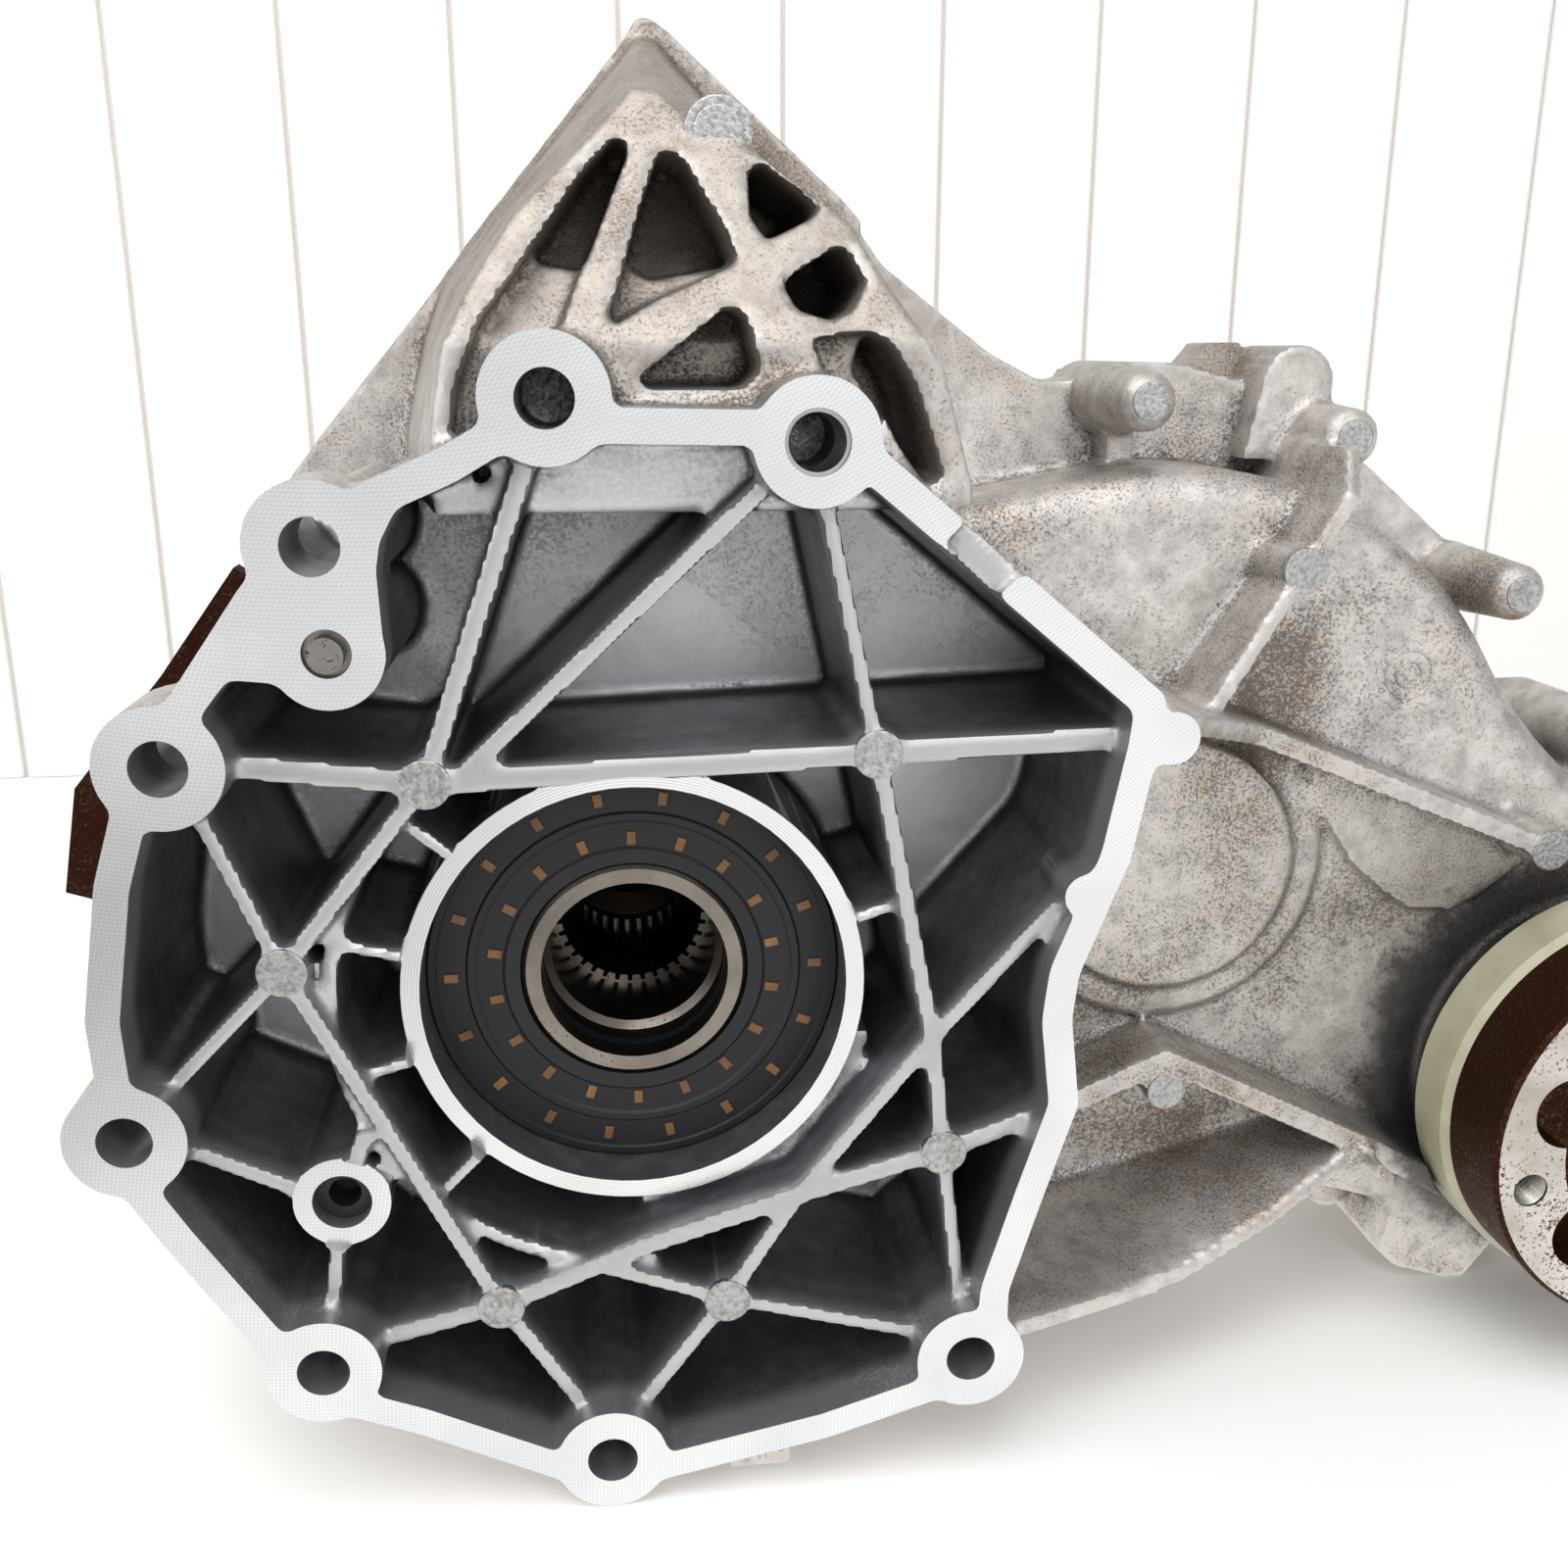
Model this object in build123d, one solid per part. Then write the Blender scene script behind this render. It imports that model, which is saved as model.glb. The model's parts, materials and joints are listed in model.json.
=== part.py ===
from build123d import *
import math
import os

os.makedirs("parts", exist_ok=True)

# A transfer case for a car with drive to all four wheels: an aluminium casing in two halves, a main shaft
# that runs straight through it, and a train of three gears that takes drive across to the front output.
#
# The origin is on the main axis, in the front end face of the input shaft, which is also the face of its
# seal. +Y runs rearward along the main axis, +X points across to the front output, and +Z is up.

# Levels along the main axis
FLANGE_Y = -25.0
RIM_DEPTH = 20.0
RIB_Y = FLANGE_Y + 6.0
HUB_FACE_Y = FLANGE_Y + 14.0
PLUG_FACE_Y = FLANGE_Y + 8.0
WALL_Y = FLANGE_Y + 60.0
WALL = 6.0
SPLIT_Y = FLANGE_Y + 105.0
FLANGE_T = 10.0
REAR_WALL_Y = SPLIT_Y + 68.0
REAR_WALL = 7.0
INNER_Y = WALL_Y + WALL

# Gears: one module, and the same number of teeth on the main and the output gear
MODULE = 3.0
MAIN_TEETH = 32
IDLER_TEETH = 56
GEAR_Y = INNER_Y + 4.0
GEAR_W = 30.0
HELIX = 9.0
BACKLASH = 0.16
CENTRES = MODULE * (MAIN_TEETH + IDLER_TEETH) / 2
IDLER_ANGLE = 3.5
OUTPUT_ANGLE = -26.2
PRESSURE = math.radians(20)
MAIN = (0.0, 0.0)
IDLER = (
    CENTRES * math.cos(math.radians(IDLER_ANGLE)),
    CENTRES * math.sin(math.radians(IDLER_ANGLE)),
)
OUTPUT = (
    IDLER[0] + CENTRES * math.cos(math.radians(OUTPUT_ANGLE)),
    IDLER[1] + CENTRES * math.sin(math.radians(OUTPUT_ANGLE)),
)
MAIN_PITCH_R = MODULE * MAIN_TEETH / 2
IDLER_PITCH_R = MODULE * IDLER_TEETH / 2
GEAR_END_Y = GEAR_Y + GEAR_W

# Casing around the gears and the clutch
CASE_AIR = 3.0
DRUM_R = 64.0
MAIN_CHAMBER_R = DRUM_R + 10.0
IDLER_CHAMBER_R = IDLER_PITCH_R + MODULE + CASE_AIR
OUTPUT_CHAMBER_R = MAIN_PITCH_R + MODULE + CASE_AIR + 2.0
DIP_R = 126.0
SHOULDER = 8.0

# Gearbox flange: outline points, bolt holes and their bosses
RIM_W = 6.5
RIM_OUTLINE = [
    (-62, 101), (-33, 113.5), (-20, 121), (24, 120.2), (47, 114), (107, 64), (106, 54), (101.5, 30),
    (92, 5), (91, -5), (93.5, -25), (87, -46), (80, -70), (80, -92), (40, -104.5), (3, -112), (-20, -110),
    (-50, -95), (-72, -86), (-81, -72), (-97, -46), (-106, -30), (-107, 5), (-102, 33), (-97, 48),
    (-87, 66), (-69, 88),
]
FLANGE_HOLE_R = 5.5
FLANGE_HOLE_L = 30.0
BOSS_R = 12.2
NUT_POCKET_R = 8.6
FLANGE_HOLES = {
    "a": (-13.6, 122.3),
    "b": (36.3, 114.2),
    "c": (-56.9, 96.3),
    "d": (-87.8, 55.4),
    "e": (-102.6, -21.4),
    "f": (-68.5, -78.0),
    "g": (-8.3, -105.9),
    "h": (72.0, -86.7),
}
SLEEVE_R = 6.3
SLEEVE_WALL = 0.8
SLEEVE_L = 16.0
PIN = (-55.5, 76.5)
PIN_R = 4.65
PIN_TIP_R = 3.4
PIN_BOSS_R = 10.8
PIN_L = 20.0
PIN_SINK = 2.0
PIN_PAD = [(-83, 71), (-77, 72.5), (-64, 71), (-45, 78), (-45.5, 95), (-40, 105), (-56, 104), (-70, 89)]
PLUG = (-63.1, -42.3)
PLUG_BOSS_R = 10.2
PLUG_R = 6.2
LOW_LAND = ((66.0, 100.8), (76.5, 89.0))
LOW_LAND_DROP = 1.5
NUB = (109.0, 55.5)
NUB_R = 5.5
INNER_NUB = (92.6, 22.5)
INNER_NUB_R = 4.6

# Ribs of the bell, from point to point in the plane of their tops
RIB_W = 3.6
PAD_R = 5.2
PADS = {
    "p1": (-40.0, 49.2),
    "p2": (49.7, 52.5),
    "p3": (-70.4, 11.1),
    "p4": (-31.2, -69.1),
    "p5": (18.0, -71.4),
    "p6": (65.7, -38.0),
}
JOIN = (62.7, -10.9)
RING_R = 62.5
RING_W = 3.2

# Input end: seal, bearing, shaft
SHAFT_R = 25.0
SEAL_R = 45.0
SEAL_W = 8.0
SEAL_LIP_R = 24.8
HUB_WALL = 3.9
BEARING_W = 20.0
BALL_SHARE = 0.3
BEARING_Y = 12.0
SHOULDER_R = 38.0
SHAFT_COLLAR_R = 30.0
MOUTH_R = 20.4
MOUTH_L = 14.0
SPLINE_R = 17.0
SPLINE_DEPTH = 1.5
SPLINE_TEETH = 36
SPLINE_Y = 38.0
SPLINE_L = 38.0
OIL_BORE_R = 12.0
OIL_BORE_L = 60.0
NECK_R = 23.0
NEEDLE_R = 2.5
FIT = 0.03
THREAD_AIR = 0.02

# Clutch
PLATE_T = 2.0
PLATE_PITCH = 4.2
PLATES = 6
PLATE_IN_R = 45.5
PLATE_OUT_R = DRUM_R - 5.5
TAB_R = DRUM_R - 2.5
TABS = 8
TAB_W = 6.0
HUB_IN_R = 38.0
HUB_OUT_R = 42.0
DRUM_T = 4.0
DRUM_FLOOR_Y = GEAR_END_Y + 2.0
DRUM_FLOOR = 6.0
DRUM_L = 41.0
PACK_Y = DRUM_FLOOR_Y + DRUM_FLOOR + 1.5
PRESS_TRAVEL = 1.5
PRESS_T = 6.0
PRESS_Y = PACK_Y + PLATES * PLATE_PITCH + PRESS_TRAVEL + 0.2

# Ball ramp behind the clutch
THRUST_T = 3.5
SLIDER_T = 10.4
RAMP_GAP = 4.0
RAMP_T = 8.0
RAMP_IN_R = 36.0
RAMP_R = DRUM_R - 2.0
BALL_R = 4.7
BALL_RING_R = 49.0
BALLS = 5
RAMP_ANGLE = 36.0
SECTOR_MODULE = 2.0
SECTOR_TEETH = 68
PINION_TEETH = 16
THRUST_Y = PRESS_Y + PRESS_T + 0.1
SLIDER_Y = THRUST_Y + THRUST_T
RAMP_Y = SLIDER_Y + SLIDER_T + RAMP_GAP
BALL_Y = RAMP_Y - RAMP_GAP / 2
RAMP_END_Y = RAMP_Y + RAMP_T
SECTOR_R = SECTOR_MODULE * SECTOR_TEETH / 2
PINION_R = SECTOR_MODULE * PINION_TEETH / 2
PINION = (0.0, SECTOR_R + PINION_R)
EAR_ANGLES = (90, 210, 330)
EAR_W = 10.0
EAR_R = MAIN_CHAMBER_R - 1.5

# Rear end: bearing 40 x 80 x 18, seal, flange with four bolts
REAR_SEAT_R = 20.0
REAR_BEARING_R = 40.0
REAR_BEARING_W = 18.0
REAR_BEARING_Y = REAR_WALL_Y + REAR_WALL + 3.0
REAR_NECK_R = 47.0
REAR_SEAL_Y = REAR_BEARING_Y + REAR_BEARING_W + 4.0
REAR_SEAL_W = 8.0
REAR_HUB_R = 27.5
REAR_FLANGE_R = 52.0
REAR_FLANGE_T = 9.0
REAR_FLANGE_Y = REAR_SEAL_Y + REAR_SEAL_W + 8.0
REAR_PCD = 84.0
REAR_BOLT_R = 5.5
REAR_END_SPLINE_R = 17.0
REAR_THREAD_R = 12.0
REAR_THREAD_L = 22.0
REAR_NUT_AF = 36.0
REAR_RECESS_R = 33.0

# Front output: flange, rings, bearings
OUT_FACE_Y = FLANGE_Y + 12.0
OUT_BARREL_R = 50.5
OUT_BARREL_L = 20.0
OUT_RING_R = 52.0
OUT_RING_L = 15.0
OUT_PCD = 84.0
OUT_HOLE_R = 4.25
OUT_HOLE_L = 18.0
OUT_HOLES = 6
OUT_HOLE_ANGLE = 195.0
OUT_RECESS_R = 33.0
OUT_RECESS_L = 11.0
OUT_NECK_R = OUT_RING_R - 8.0
OUT_NUT_AF = 30.0
OUT_SEAT_R = 17.5
OUT_COLLAR_R = 23.0
OUT_BEARING_R = 36.0
OUT_BEARING_W = 17.0
OUT_HUB_R = 22.0
OUT_SPLINE_R = 14.0
OUT_THREAD_R = 10.0
OUT_REAR_SEAT_R = 15.0
OUT_REAR_BEARING_R = 31.0
OUT_REAR_BEARING_W = 16.0
OUT_RING_Y = OUT_FACE_Y + OUT_BARREL_L
OUT_NECK_Y = OUT_RING_Y + 8.0
OUT_BEARING_Y = GEAR_Y - 1.0 - OUT_BEARING_W
OUT_REAR_BEARING_Y = GEAR_END_Y + 2.0

# Idler bearings 25 x 52 x 15
IDLER_SEAT_R = 12.5
IDLER_BEARING_R = 26.0
IDLER_BEARING_W = 15.0
IDLER_COLLAR_R = IDLER_BEARING_R + 5.0
IDLER_DISC_R = 32.0
IDLER_DISC_RISE = 4.5
IDLER_STEP_R = 40.0
IDLER_STEP_RISE = 2.0
IDLER_DISH_R = 72.0
IDLER_DISH = 9.5
IDLER_FRONT_Y = WALL_Y + 2.2
IDLER_REAR_Y = GEAR_END_Y - 7.2
CASE_BACK_Y = IDLER_REAR_Y + IDLER_BEARING_W + 0.2

# Tower above the bell: outline of its block at the front and at the split flange, and the pockets between
# its ribs, each with the depth of its floor. Above TOWER_BEND_Z the ribs and the floors lean back.
TOWER_FRONT_Y = FLANGE_Y + 16.0
TOWER_BEND_Z = 132.0
TOWER_SLOPE = 33.0
TOWER_FRONT = [
    (-36, 100), (-36.5, 112), (-33, 131), (-27.5, 141), (-17.5, 155), (-1, 166), (3, 169), (9, 169),
    (15, 166), (27, 166), (38, 158.5), (46, 154), (50.5, 146.5), (63.4, 127.5), (70, 104), (70, 100),
]
TOWER_BACK = [
    (-50, 100), (-49.5, 112), (-44, 133.4), (-39, 145), (-27, 160), (2.9, 194), (7, 199), (11, 199),
    (17, 192), (33, 175), (44, 165), (52, 158), (54, 149), (66, 129.5), (72, 104), (72, 100),
]
LEANING_POCKETS = [
    ([(-16.5, 149), (-15, 147), (-6, 145.5), (0.2, 160.4), (3.6, 168.5), (2.5, 173), (-5.8, 164.4)], 32.0),
    ([(-34, 106), (-31, 124), (-26, 136), (-16.5, 149), (-6.5, 145.5), (-11, 134), (-22, 129.5), (-25, 122),
      (-25, 106)], 10.0),
    ([(2, 147), (5.6, 158.2), (10, 169.5), (14.5, 167), (18, 160.5), (22.3, 152.5), (24, 147), (7, 144)],
     34.0),
    ([(-2.5, 134), (2, 147), (7, 144), (24, 147), (8, 140)], 12.0),
    ([(3, 125), (5, 123.5), (24, 123.5), (27.5, 127), (24.5, 138), (21, 138.5)], 26.0),
    ([(27.3, 165.5), (27, 156), (29.8, 151.2), (40.5, 156.3), (41, 158.5), (30, 166.5)], 60.0),
    ([(32.3, 143.5), (35, 138), (42, 136), (46, 138), (49, 143.5), (45.5, 150), (43, 150)], 50.0),
    ([(49, 134), (53, 132), (58, 124), (64, 106), (60.5, 104.5), (55, 112), (47, 127)], 44.0),
    ([(37, 133), (49, 134), (47, 127), (52, 118), (46, 112)], 12.0),
]
TOWER_PAD = (21.6, 172.6)
TOWER_PAD_R = 7.2
TOWER_PAD_Y = FLANGE_Y + 42.0

# Split flange: bolts, and its outline beyond the case, round the tower and to the lug beside it
SPLIT_BOLT_R = 4.0
SPLIT_BOSS_R = 8.8
BOSS_END_R = 6.9
BOSS_PAD_R = 4.4
FRONT_BOSSES = {
    (121.5, 119.3): 60.0, (173.5, 110.5): 64.0, (218.7, 73.3): 60.0, (255.0, 32.0): 60.0,
    (312.0, -10.0): 60.0, (318.0, -62.0): 60.0, (283.0, -106.0): 60.0, (195.0, -97.0): 75.0,
    (106.0, -99.0): 60.0, (49.0, 153.0): 85.0,
}
SPLIT_BOLTS = list(FRONT_BOSSES) + [
    (50.0, -88.0), (-46.0, -76.0), (-82.0, -36.0), (-86.0, 25.0), (-62.0, 84.0), TOWER_PAD,
]
TOWER_FLANGE = [
    (-80, 92), (-78, 101), (-69, 112.1), (-41.9, 143.5), (-32, 156), (3.5, 197.5), (7.5, 203.4), (10, 203.5),
    (14.5, 200.5), (56, 164.2), (60, 159.6), (59.5, 157.6), (65, 150.3), (92, 130), (105, 123.4),
    (112.5, 123.4), (121.5, 128), (140, 127.6), (156, 123.5), (160, 92),
]
BOLT_HEAD_H = 8.0
BOLT_AF = 13.0
BOLT_GRIP = 26.0
BOLT_AIR = 0.4

# Lug that stands up beside the bolts at the top right, and the one behind it on the rear half
TOP_LUG = (167.6, 122.6)
TOP_LUG_R = 9.2
TOP_LUG_Y = FLANGE_Y + 84.0
REAR_LUG = [(144, 100), (145, 124), (152, 132.5), (160, 132.5), (167, 124), (167, 100)]
REAR_LUG_L = 16.0

# Outside of the gear case: one crest level for its ribs and round ejector pads, from point to point
CASE_RIB_Y = FLANGE_Y + 41.0
CASE_RIB_W = 5.0
SIDE_RIB_W = 4.0
LOW_RIB_W = 6.0
RIB_START = (128.0, 50.5)
RIB_BEND = (146.0, 44.7)
RIB_END = (222.4, 13.7)
RIB_PAD = (153.2, 82.7)
RIB_TOP = [(163.0, 99.5), (166.5, 109.0)]
LOW_RIB = [(92.0, -53.0), (129.0, -37.0), (180.7, -62.8), (212.0, -80.0)]
EJECTOR_PADS = [(RIB_PAD, 5.3), (RIB_END, 5.0), ((129.5, -45.0), 4.8), ((180.9, -66.0), 4.5)]
BULGE = [(166, 33), (173, 17), (180, 7), (189, -1), (197, -6), (208, -7), (216, -3), (226, 5), (228, 12)]
BULGE_RISE = 3.0

# Curved web under the gear case: upper edge at its front and where it meets the wall, and its thickness
WEB_FRONT_Y = FLANGE_Y + 8.0
WEB_FRONT = [(78, -84), (104, -85.7), (129, -88.4), (154.5, -84.3), (184, -66)]
WEB_BACK = [(78, -83), (109, -79), (136, -71.4), (160, -65), (184, -61)]
WEB_T = 4.6

# Feet: the sump under the clutch, and the lug under the front output
FLOOR_Z = -118.0
SUMP_W = 84.0
SUMP_L = 62.0
LUG = [
    (206, -84), (201.5, -108), (207.5, -113.5), (222, FLOOR_Z), (228, FLOOR_Z), (236.5, -106), (238, -84),
]

# Oil plugs on the back of the gear case
OIL_PLUGS = [(176.0, 6.0), (128.0, -66.0)]
PLUG_SEAT_Y = CASE_BACK_Y + WALL + 5.0
PLUG_THREAD_R = 7.0
PLUG_HEAD_R = 10.0
PLUG_WASHER_T = 1.5
PLUG_SOCKET_AF = 10.0

# Brown steel bracket on the left
BRACKET = [(-72, 74), (-86, 84), (-104, 60), (-126, 34), (-131, 9), (-122, 6), (-90, 14), (-84, 40)]
BRACKET_T = 6.0
BRACKET_BOLT = (-92.0, 35.0)

BREATHER = (-30.0, SPLIT_Y + 30.0, MAIN_CHAMBER_R + 10.0)

# Actuator on the back, beside the main bearing
MOTOR = (50.0, MAIN_CHAMBER_R + 23.0)
MOTOR_R = 26.0
MOTOR_L = 62.0
ACTUATOR_Y = REAR_WALL_Y + REAR_WALL + 2.0
ACTUATOR_T = 26.0
FOOT_BOSS_R = 7.0
FOOT_BOSS_L = 12.0
CONNECTOR_X = 84.0
CONNECTOR_SIZE = (22.0, 14.0, 20.0)
CONNECTOR_WALL = 2.0
PINION_SHAFT_R = 6.0


def on_main(angle, r):
    return (r * math.cos(math.radians(angle)), r * math.sin(math.radians(angle)))


def spread(centre, r, count, start=0.0):
    turns = [math.radians(start + 360 * k / count) for k in range(count)]
    return [(centre[0] + r * math.cos(t), centre[1] + r * math.sin(t)) for t in turns]


def disc(centre, r):
    return Pos(centre[0], centre[1]) * Circle(r)


def slab(sketch, y0, y1):
    """A sketch drawn in X and Z, pulled from y0 to y1."""
    return extrude(Plane.XZ.offset(-y0) * sketch, amount=-(y1 - y0))


def rod(centre, r, y0, y1):
    return slab(disc(centre, r), y0, y1)


def tube(centre, r_in, r_out, y0, y1):
    return slab(disc(centre, r_out) - disc(centre, r_in), y0, y1)


def lathe(centre, profile):
    """A turned piece: (radius, y) points revolved about a line along Y through the centre."""
    face = make_face(Polyline(*profile, close=True))
    return Pos(centre[0], 0, centre[1]) * revolve(face, Axis.Y)


def area(points):
    return Sketch() + make_face(Polyline(*points, close=True))


def bar(p, q, width):
    """A straight band between two points, with square ends."""
    dx, dz = q[0] - p[0], q[1] - p[1]
    place = Pos((p[0] + q[0]) / 2, (p[1] + q[1]) / 2) * Rot(0, 0, math.degrees(math.atan2(dz, dx)))
    return place * Rectangle(math.hypot(dx, dz), width)


def star(r_low, r_high, teeth, share=0.5):
    """A ring of straight-sided teeth between two radii, for splines."""
    points = []
    step = 2 * math.pi / teeth
    for k in range(teeth):
        tooth = ((0, r_low), (1 - share, r_low), (1 - share * 0.8, r_high), (1 - share * 0.2, r_high))
        for turn, r in tooth:
            a = step * (k + turn)
            points.append((r * math.cos(a), r * math.sin(a)))
    return area(points)


def involute(angle):
    return math.tan(angle) - angle


def gear_face(module, teeth, phase):
    """A gear's outline with involute flanks; phase is the angle of one tooth's middle, in degrees."""
    pitch_r = module * teeth / 2
    tip_r = pitch_r + module
    root_r = pitch_r - 1.25 * module
    base_r = pitch_r * math.cos(PRESSURE)
    half = math.pi / 2 / teeth - BACKLASH / 2 / pitch_r + involute(PRESSURE)
    low_r = max(base_r, root_r + 0.1 * module)
    flank = [low_r, (low_r + pitch_r) / 2, pitch_r, tip_r]
    spans = [(r, half - involute(math.acos(base_r / r))) for r in flank]
    spans = [(root_r, spans[0][1])] + spans
    points = []
    for k in range(teeth):
        middle = math.radians(phase) + 2 * math.pi * k / teeth
        points += [(r * math.cos(middle - s), r * math.sin(middle - s)) for r, s in spans]
        points += [(r * math.cos(middle + s), r * math.sin(middle + s)) for r, s in reversed(spans)]
    return area(points)


def helical_gear(centre, teeth, phase, hand):
    """Helical teeth as two ruled halves; hand is +1 or -1, and the twist goes with the pitch radius."""
    face = gear_face(MODULE, teeth, phase)
    twist = hand * HELIX * MAIN_TEETH / teeth
    levels = []
    for share in (0, 0.5, 1):
        level = Plane.XZ.offset(-(GEAR_Y + GEAR_W * share))
        levels.append(level * (Rot(0, 0, twist * share) * face))
    return Pos(centre[0], 0, centre[1]) * loft(levels, ruled=True)


def mesh_phases():
    """Tooth phases in degrees at the gear's front face: gap against tooth at both meshes."""
    main_phase = IDLER_ANGLE
    idler_pitch = 360 / IDLER_TEETH
    idler_phase = IDLER_ANGLE + 180 + idler_pitch / 2
    ahead = (idler_phase - OUTPUT_ANGLE) / idler_pitch
    ahead = (ahead - math.floor(ahead)) * idler_pitch
    shift = ahead * IDLER_TEETH / MAIN_TEETH
    output_phase = OUTPUT_ANGLE + 180 - shift + 180 / MAIN_TEETH
    return main_phase, idler_phase, output_phase


def dip_centre(a, r_a, b, r_b, side):
    """Centre of the circle of radius DIP_R less the growth that touches two discs from above or below."""
    span = math.dist(a, b)
    turn = math.acos((r_a ** 2 + span ** 2 - r_b ** 2) / (2 * span * r_a))
    aim = math.atan2(b[1] - a[1], b[0] - a[0]) + side * turn
    return (a[0] + r_a * math.cos(aim), a[1] + r_a * math.sin(aim))


def case_outline(grow):
    """The three chambers grown by a wall or a flange: a hull at the left, a waist at the right."""
    main = disc(MAIN, MAIN_CHAMBER_R + grow)
    idler = disc(IDLER, IDLER_CHAMBER_R + grow)
    output = disc(OUTPUT, OUTPUT_CHAMBER_R + grow)
    idler_far, output_far = IDLER_CHAMBER_R + DIP_R, OUTPUT_CHAMBER_R + DIP_R
    dips = [dip_centre(IDLER, idler_far, OUTPUT, output_far, side) for side in (1, -1)]
    waist = area([IDLER, dips[0], OUTPUT, dips[1]]) - [disc(c, DIP_R - grow) for c in dips]
    return make_hull(main.edges() + idler.edges()) + idler + waist + output


def rim_outline():
    """The bell's outer line between the bosses, with its corners rounded both ways."""
    line = area(RIM_OUTLINE)
    line = offset(offset(line, 8), -8)
    return offset(offset(line, -4), 4)


def boss_discs(r):
    return [disc(c, r) for c in FLANGE_HOLES.values()]


def gearbox_rim():
    """The machined face band with its eight bosses, the pad round the pin and the nubs."""
    outer = rim_outline()
    band = outer - offset(outer, -RIM_W)
    band = band + boss_discs(BOSS_R) + area([*PIN_PAD[:3], PIN, *PIN_PAD[3:]]) + disc(PIN, PIN_BOSS_R)
    band = band + disc(NUB, NUB_R) + disc(INNER_NUB, INNER_NUB_R)
    return slab(band, FLANGE_Y, FLANGE_Y + RIM_DEPTH)


def bell_wall():
    """The wall behind the rim, scalloped behind each boss for the bolt's nut and a socket."""
    outer = offset(rim_outline(), -1.5)
    band = outer - offset(outer, -RIM_W + 1.5) + boss_discs(BOSS_R) + disc(PIN, PIN_BOSS_R)
    for centre in FLANGE_HOLES.values():
        reach = math.hypot(*centre)
        away = (centre[0] * (1 + 30 / reach), centre[1] * (1 + 30 / reach))
        band = band - disc(centre, NUT_POCKET_R) - bar(centre, away, 2 * NUT_POCKET_R)
    return slab(band, FLANGE_Y + RIM_DEPTH, WALL_Y)


def bell_ribs():
    """The web of ribs between the bosses, the pads and the ring round the seal."""
    hole, pad = FLANGE_HOLES, PADS
    low_bend = (33.8, -46.7)
    low_join = (-10.1, -61.0)
    webs = [
        (hole["d"], pad["p1"], 5.0), (pad["p1"], pad["p2"], 5.0), (pad["p2"], (101.0, 54.4), 5.0),
        (hole["a"], pad["p1"], 4.0), (hole["b"], (-33.0, 50.5), RIB_W), (hole["b"], pad["p2"], 3.2),
        (pad["p2"], JOIN, RIB_W), (JOIN, pad["p6"], RIB_W), (INNER_NUB, JOIN, RIB_W),
        (JOIN, low_bend, RIB_W), (low_bend, pad["p5"], RIB_W), (pad["p5"], hole["g"], RIB_W),
        ((88.0, -30.3), pad["p6"], 4.4), (pad["p6"], low_bend, 4.4), (low_bend, (0.1, -56.9), 4.4),
        ((0.1, -56.9), low_join, 4.4), (low_join, pad["p4"], 4.4), (pad["p4"], hole["f"], 4.4),
        (pad["p6"], hole["h"], 3.2), (pad["p5"], hole["h"], 3.2), (pad["p5"], low_join, 3.2),
        (pad["p4"], hole["g"], RIB_W), (pad["p4"], pad["p3"], RIB_W), (pad["p3"], hole["d"], 3.2),
        (pad["p3"], hole["e"], 3.2), (pad["p3"], pad["p1"], RIB_W),
        (PLUG, (-93.0, -27.0), RIB_W), (PLUG, hole["f"], 3.2), (PLUG, (-57.0, -26.0), RIB_W),
    ]
    ribs = Sketch() + [bar(p, q, w) for p, q, w in webs]
    ribs = ribs & offset(rim_outline(), -3)
    ribs = ribs - disc(MAIN, SEAL_R + HUB_WALL - 1) - disc(PLUG, PLUG_R) - boss_discs(9.0)
    return slab(ribs, RIB_Y, WALL_Y)


def bore_ring():
    """The ring that holds the seal and the bearing, and the low wall round its left side."""
    ring = tube(MAIN, SEAL_R, SEAL_R + HUB_WALL, HUB_FACE_Y, WALL_Y)
    wall = disc(MAIN, RING_R + RING_W / 2) - disc(MAIN, RING_R - RING_W / 2)
    wall = wall - area([(0, 0), (-80, 56), (-80, 90), (90, 90), (90, -90), (10, -90), (2, -56)])
    webs = Sketch() + [
        bar(on_main(a, SEAL_R + 2), on_main(a, RING_R), 2.6) for a in (166, 194, 138, 225, 19)
    ]
    heavy = disc(MAIN, SEAL_R + 9) & area([(0, -30), (0, -70), (60, -60), (58, -16), (30, -12)])
    ring = ring + slab(wall + webs, RIB_Y + 3, WALL_Y)
    return ring + slab(heavy - disc(MAIN, SEAL_R), HUB_FACE_Y + 6, WALL_Y)


def split_outline():
    """The flange where the two halves meet: the case line, the bolt bosses and the tower's back."""
    line = case_outline(WALL + 5) + [disc(c, SPLIT_BOSS_R) for c in SPLIT_BOLTS] + area(TOWER_FLANGE)
    line = line + bar(SPLIT_BOLTS[1], SPLIT_BOLTS[2], 12) + disc(TOP_LUG, TOP_LUG_R)
    for bolt in SPLIT_BOLTS:
        line = line + bar(bolt, nearest_chamber(bolt), 2 * SPLIT_BOSS_R)
    return line


def nearest_chamber(point):
    return min((MAIN, IDLER, OUTPUT), key=lambda c: math.dist(c, point))


def leaning_front(depth):
    """All that lies in front of the tower's crest moved back by depth, above and below the bend."""
    bend = Pos(0, TOWER_FRONT_Y + depth, TOWER_BEND_Z)
    upright = bend * Pos(0, -100, -75) * Box(240, 200, 150)
    return upright + bend * Rot(-TOWER_SLOPE, 0, 0) * Pos(0, -100, 0) * Box(240, 200, 200)


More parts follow.
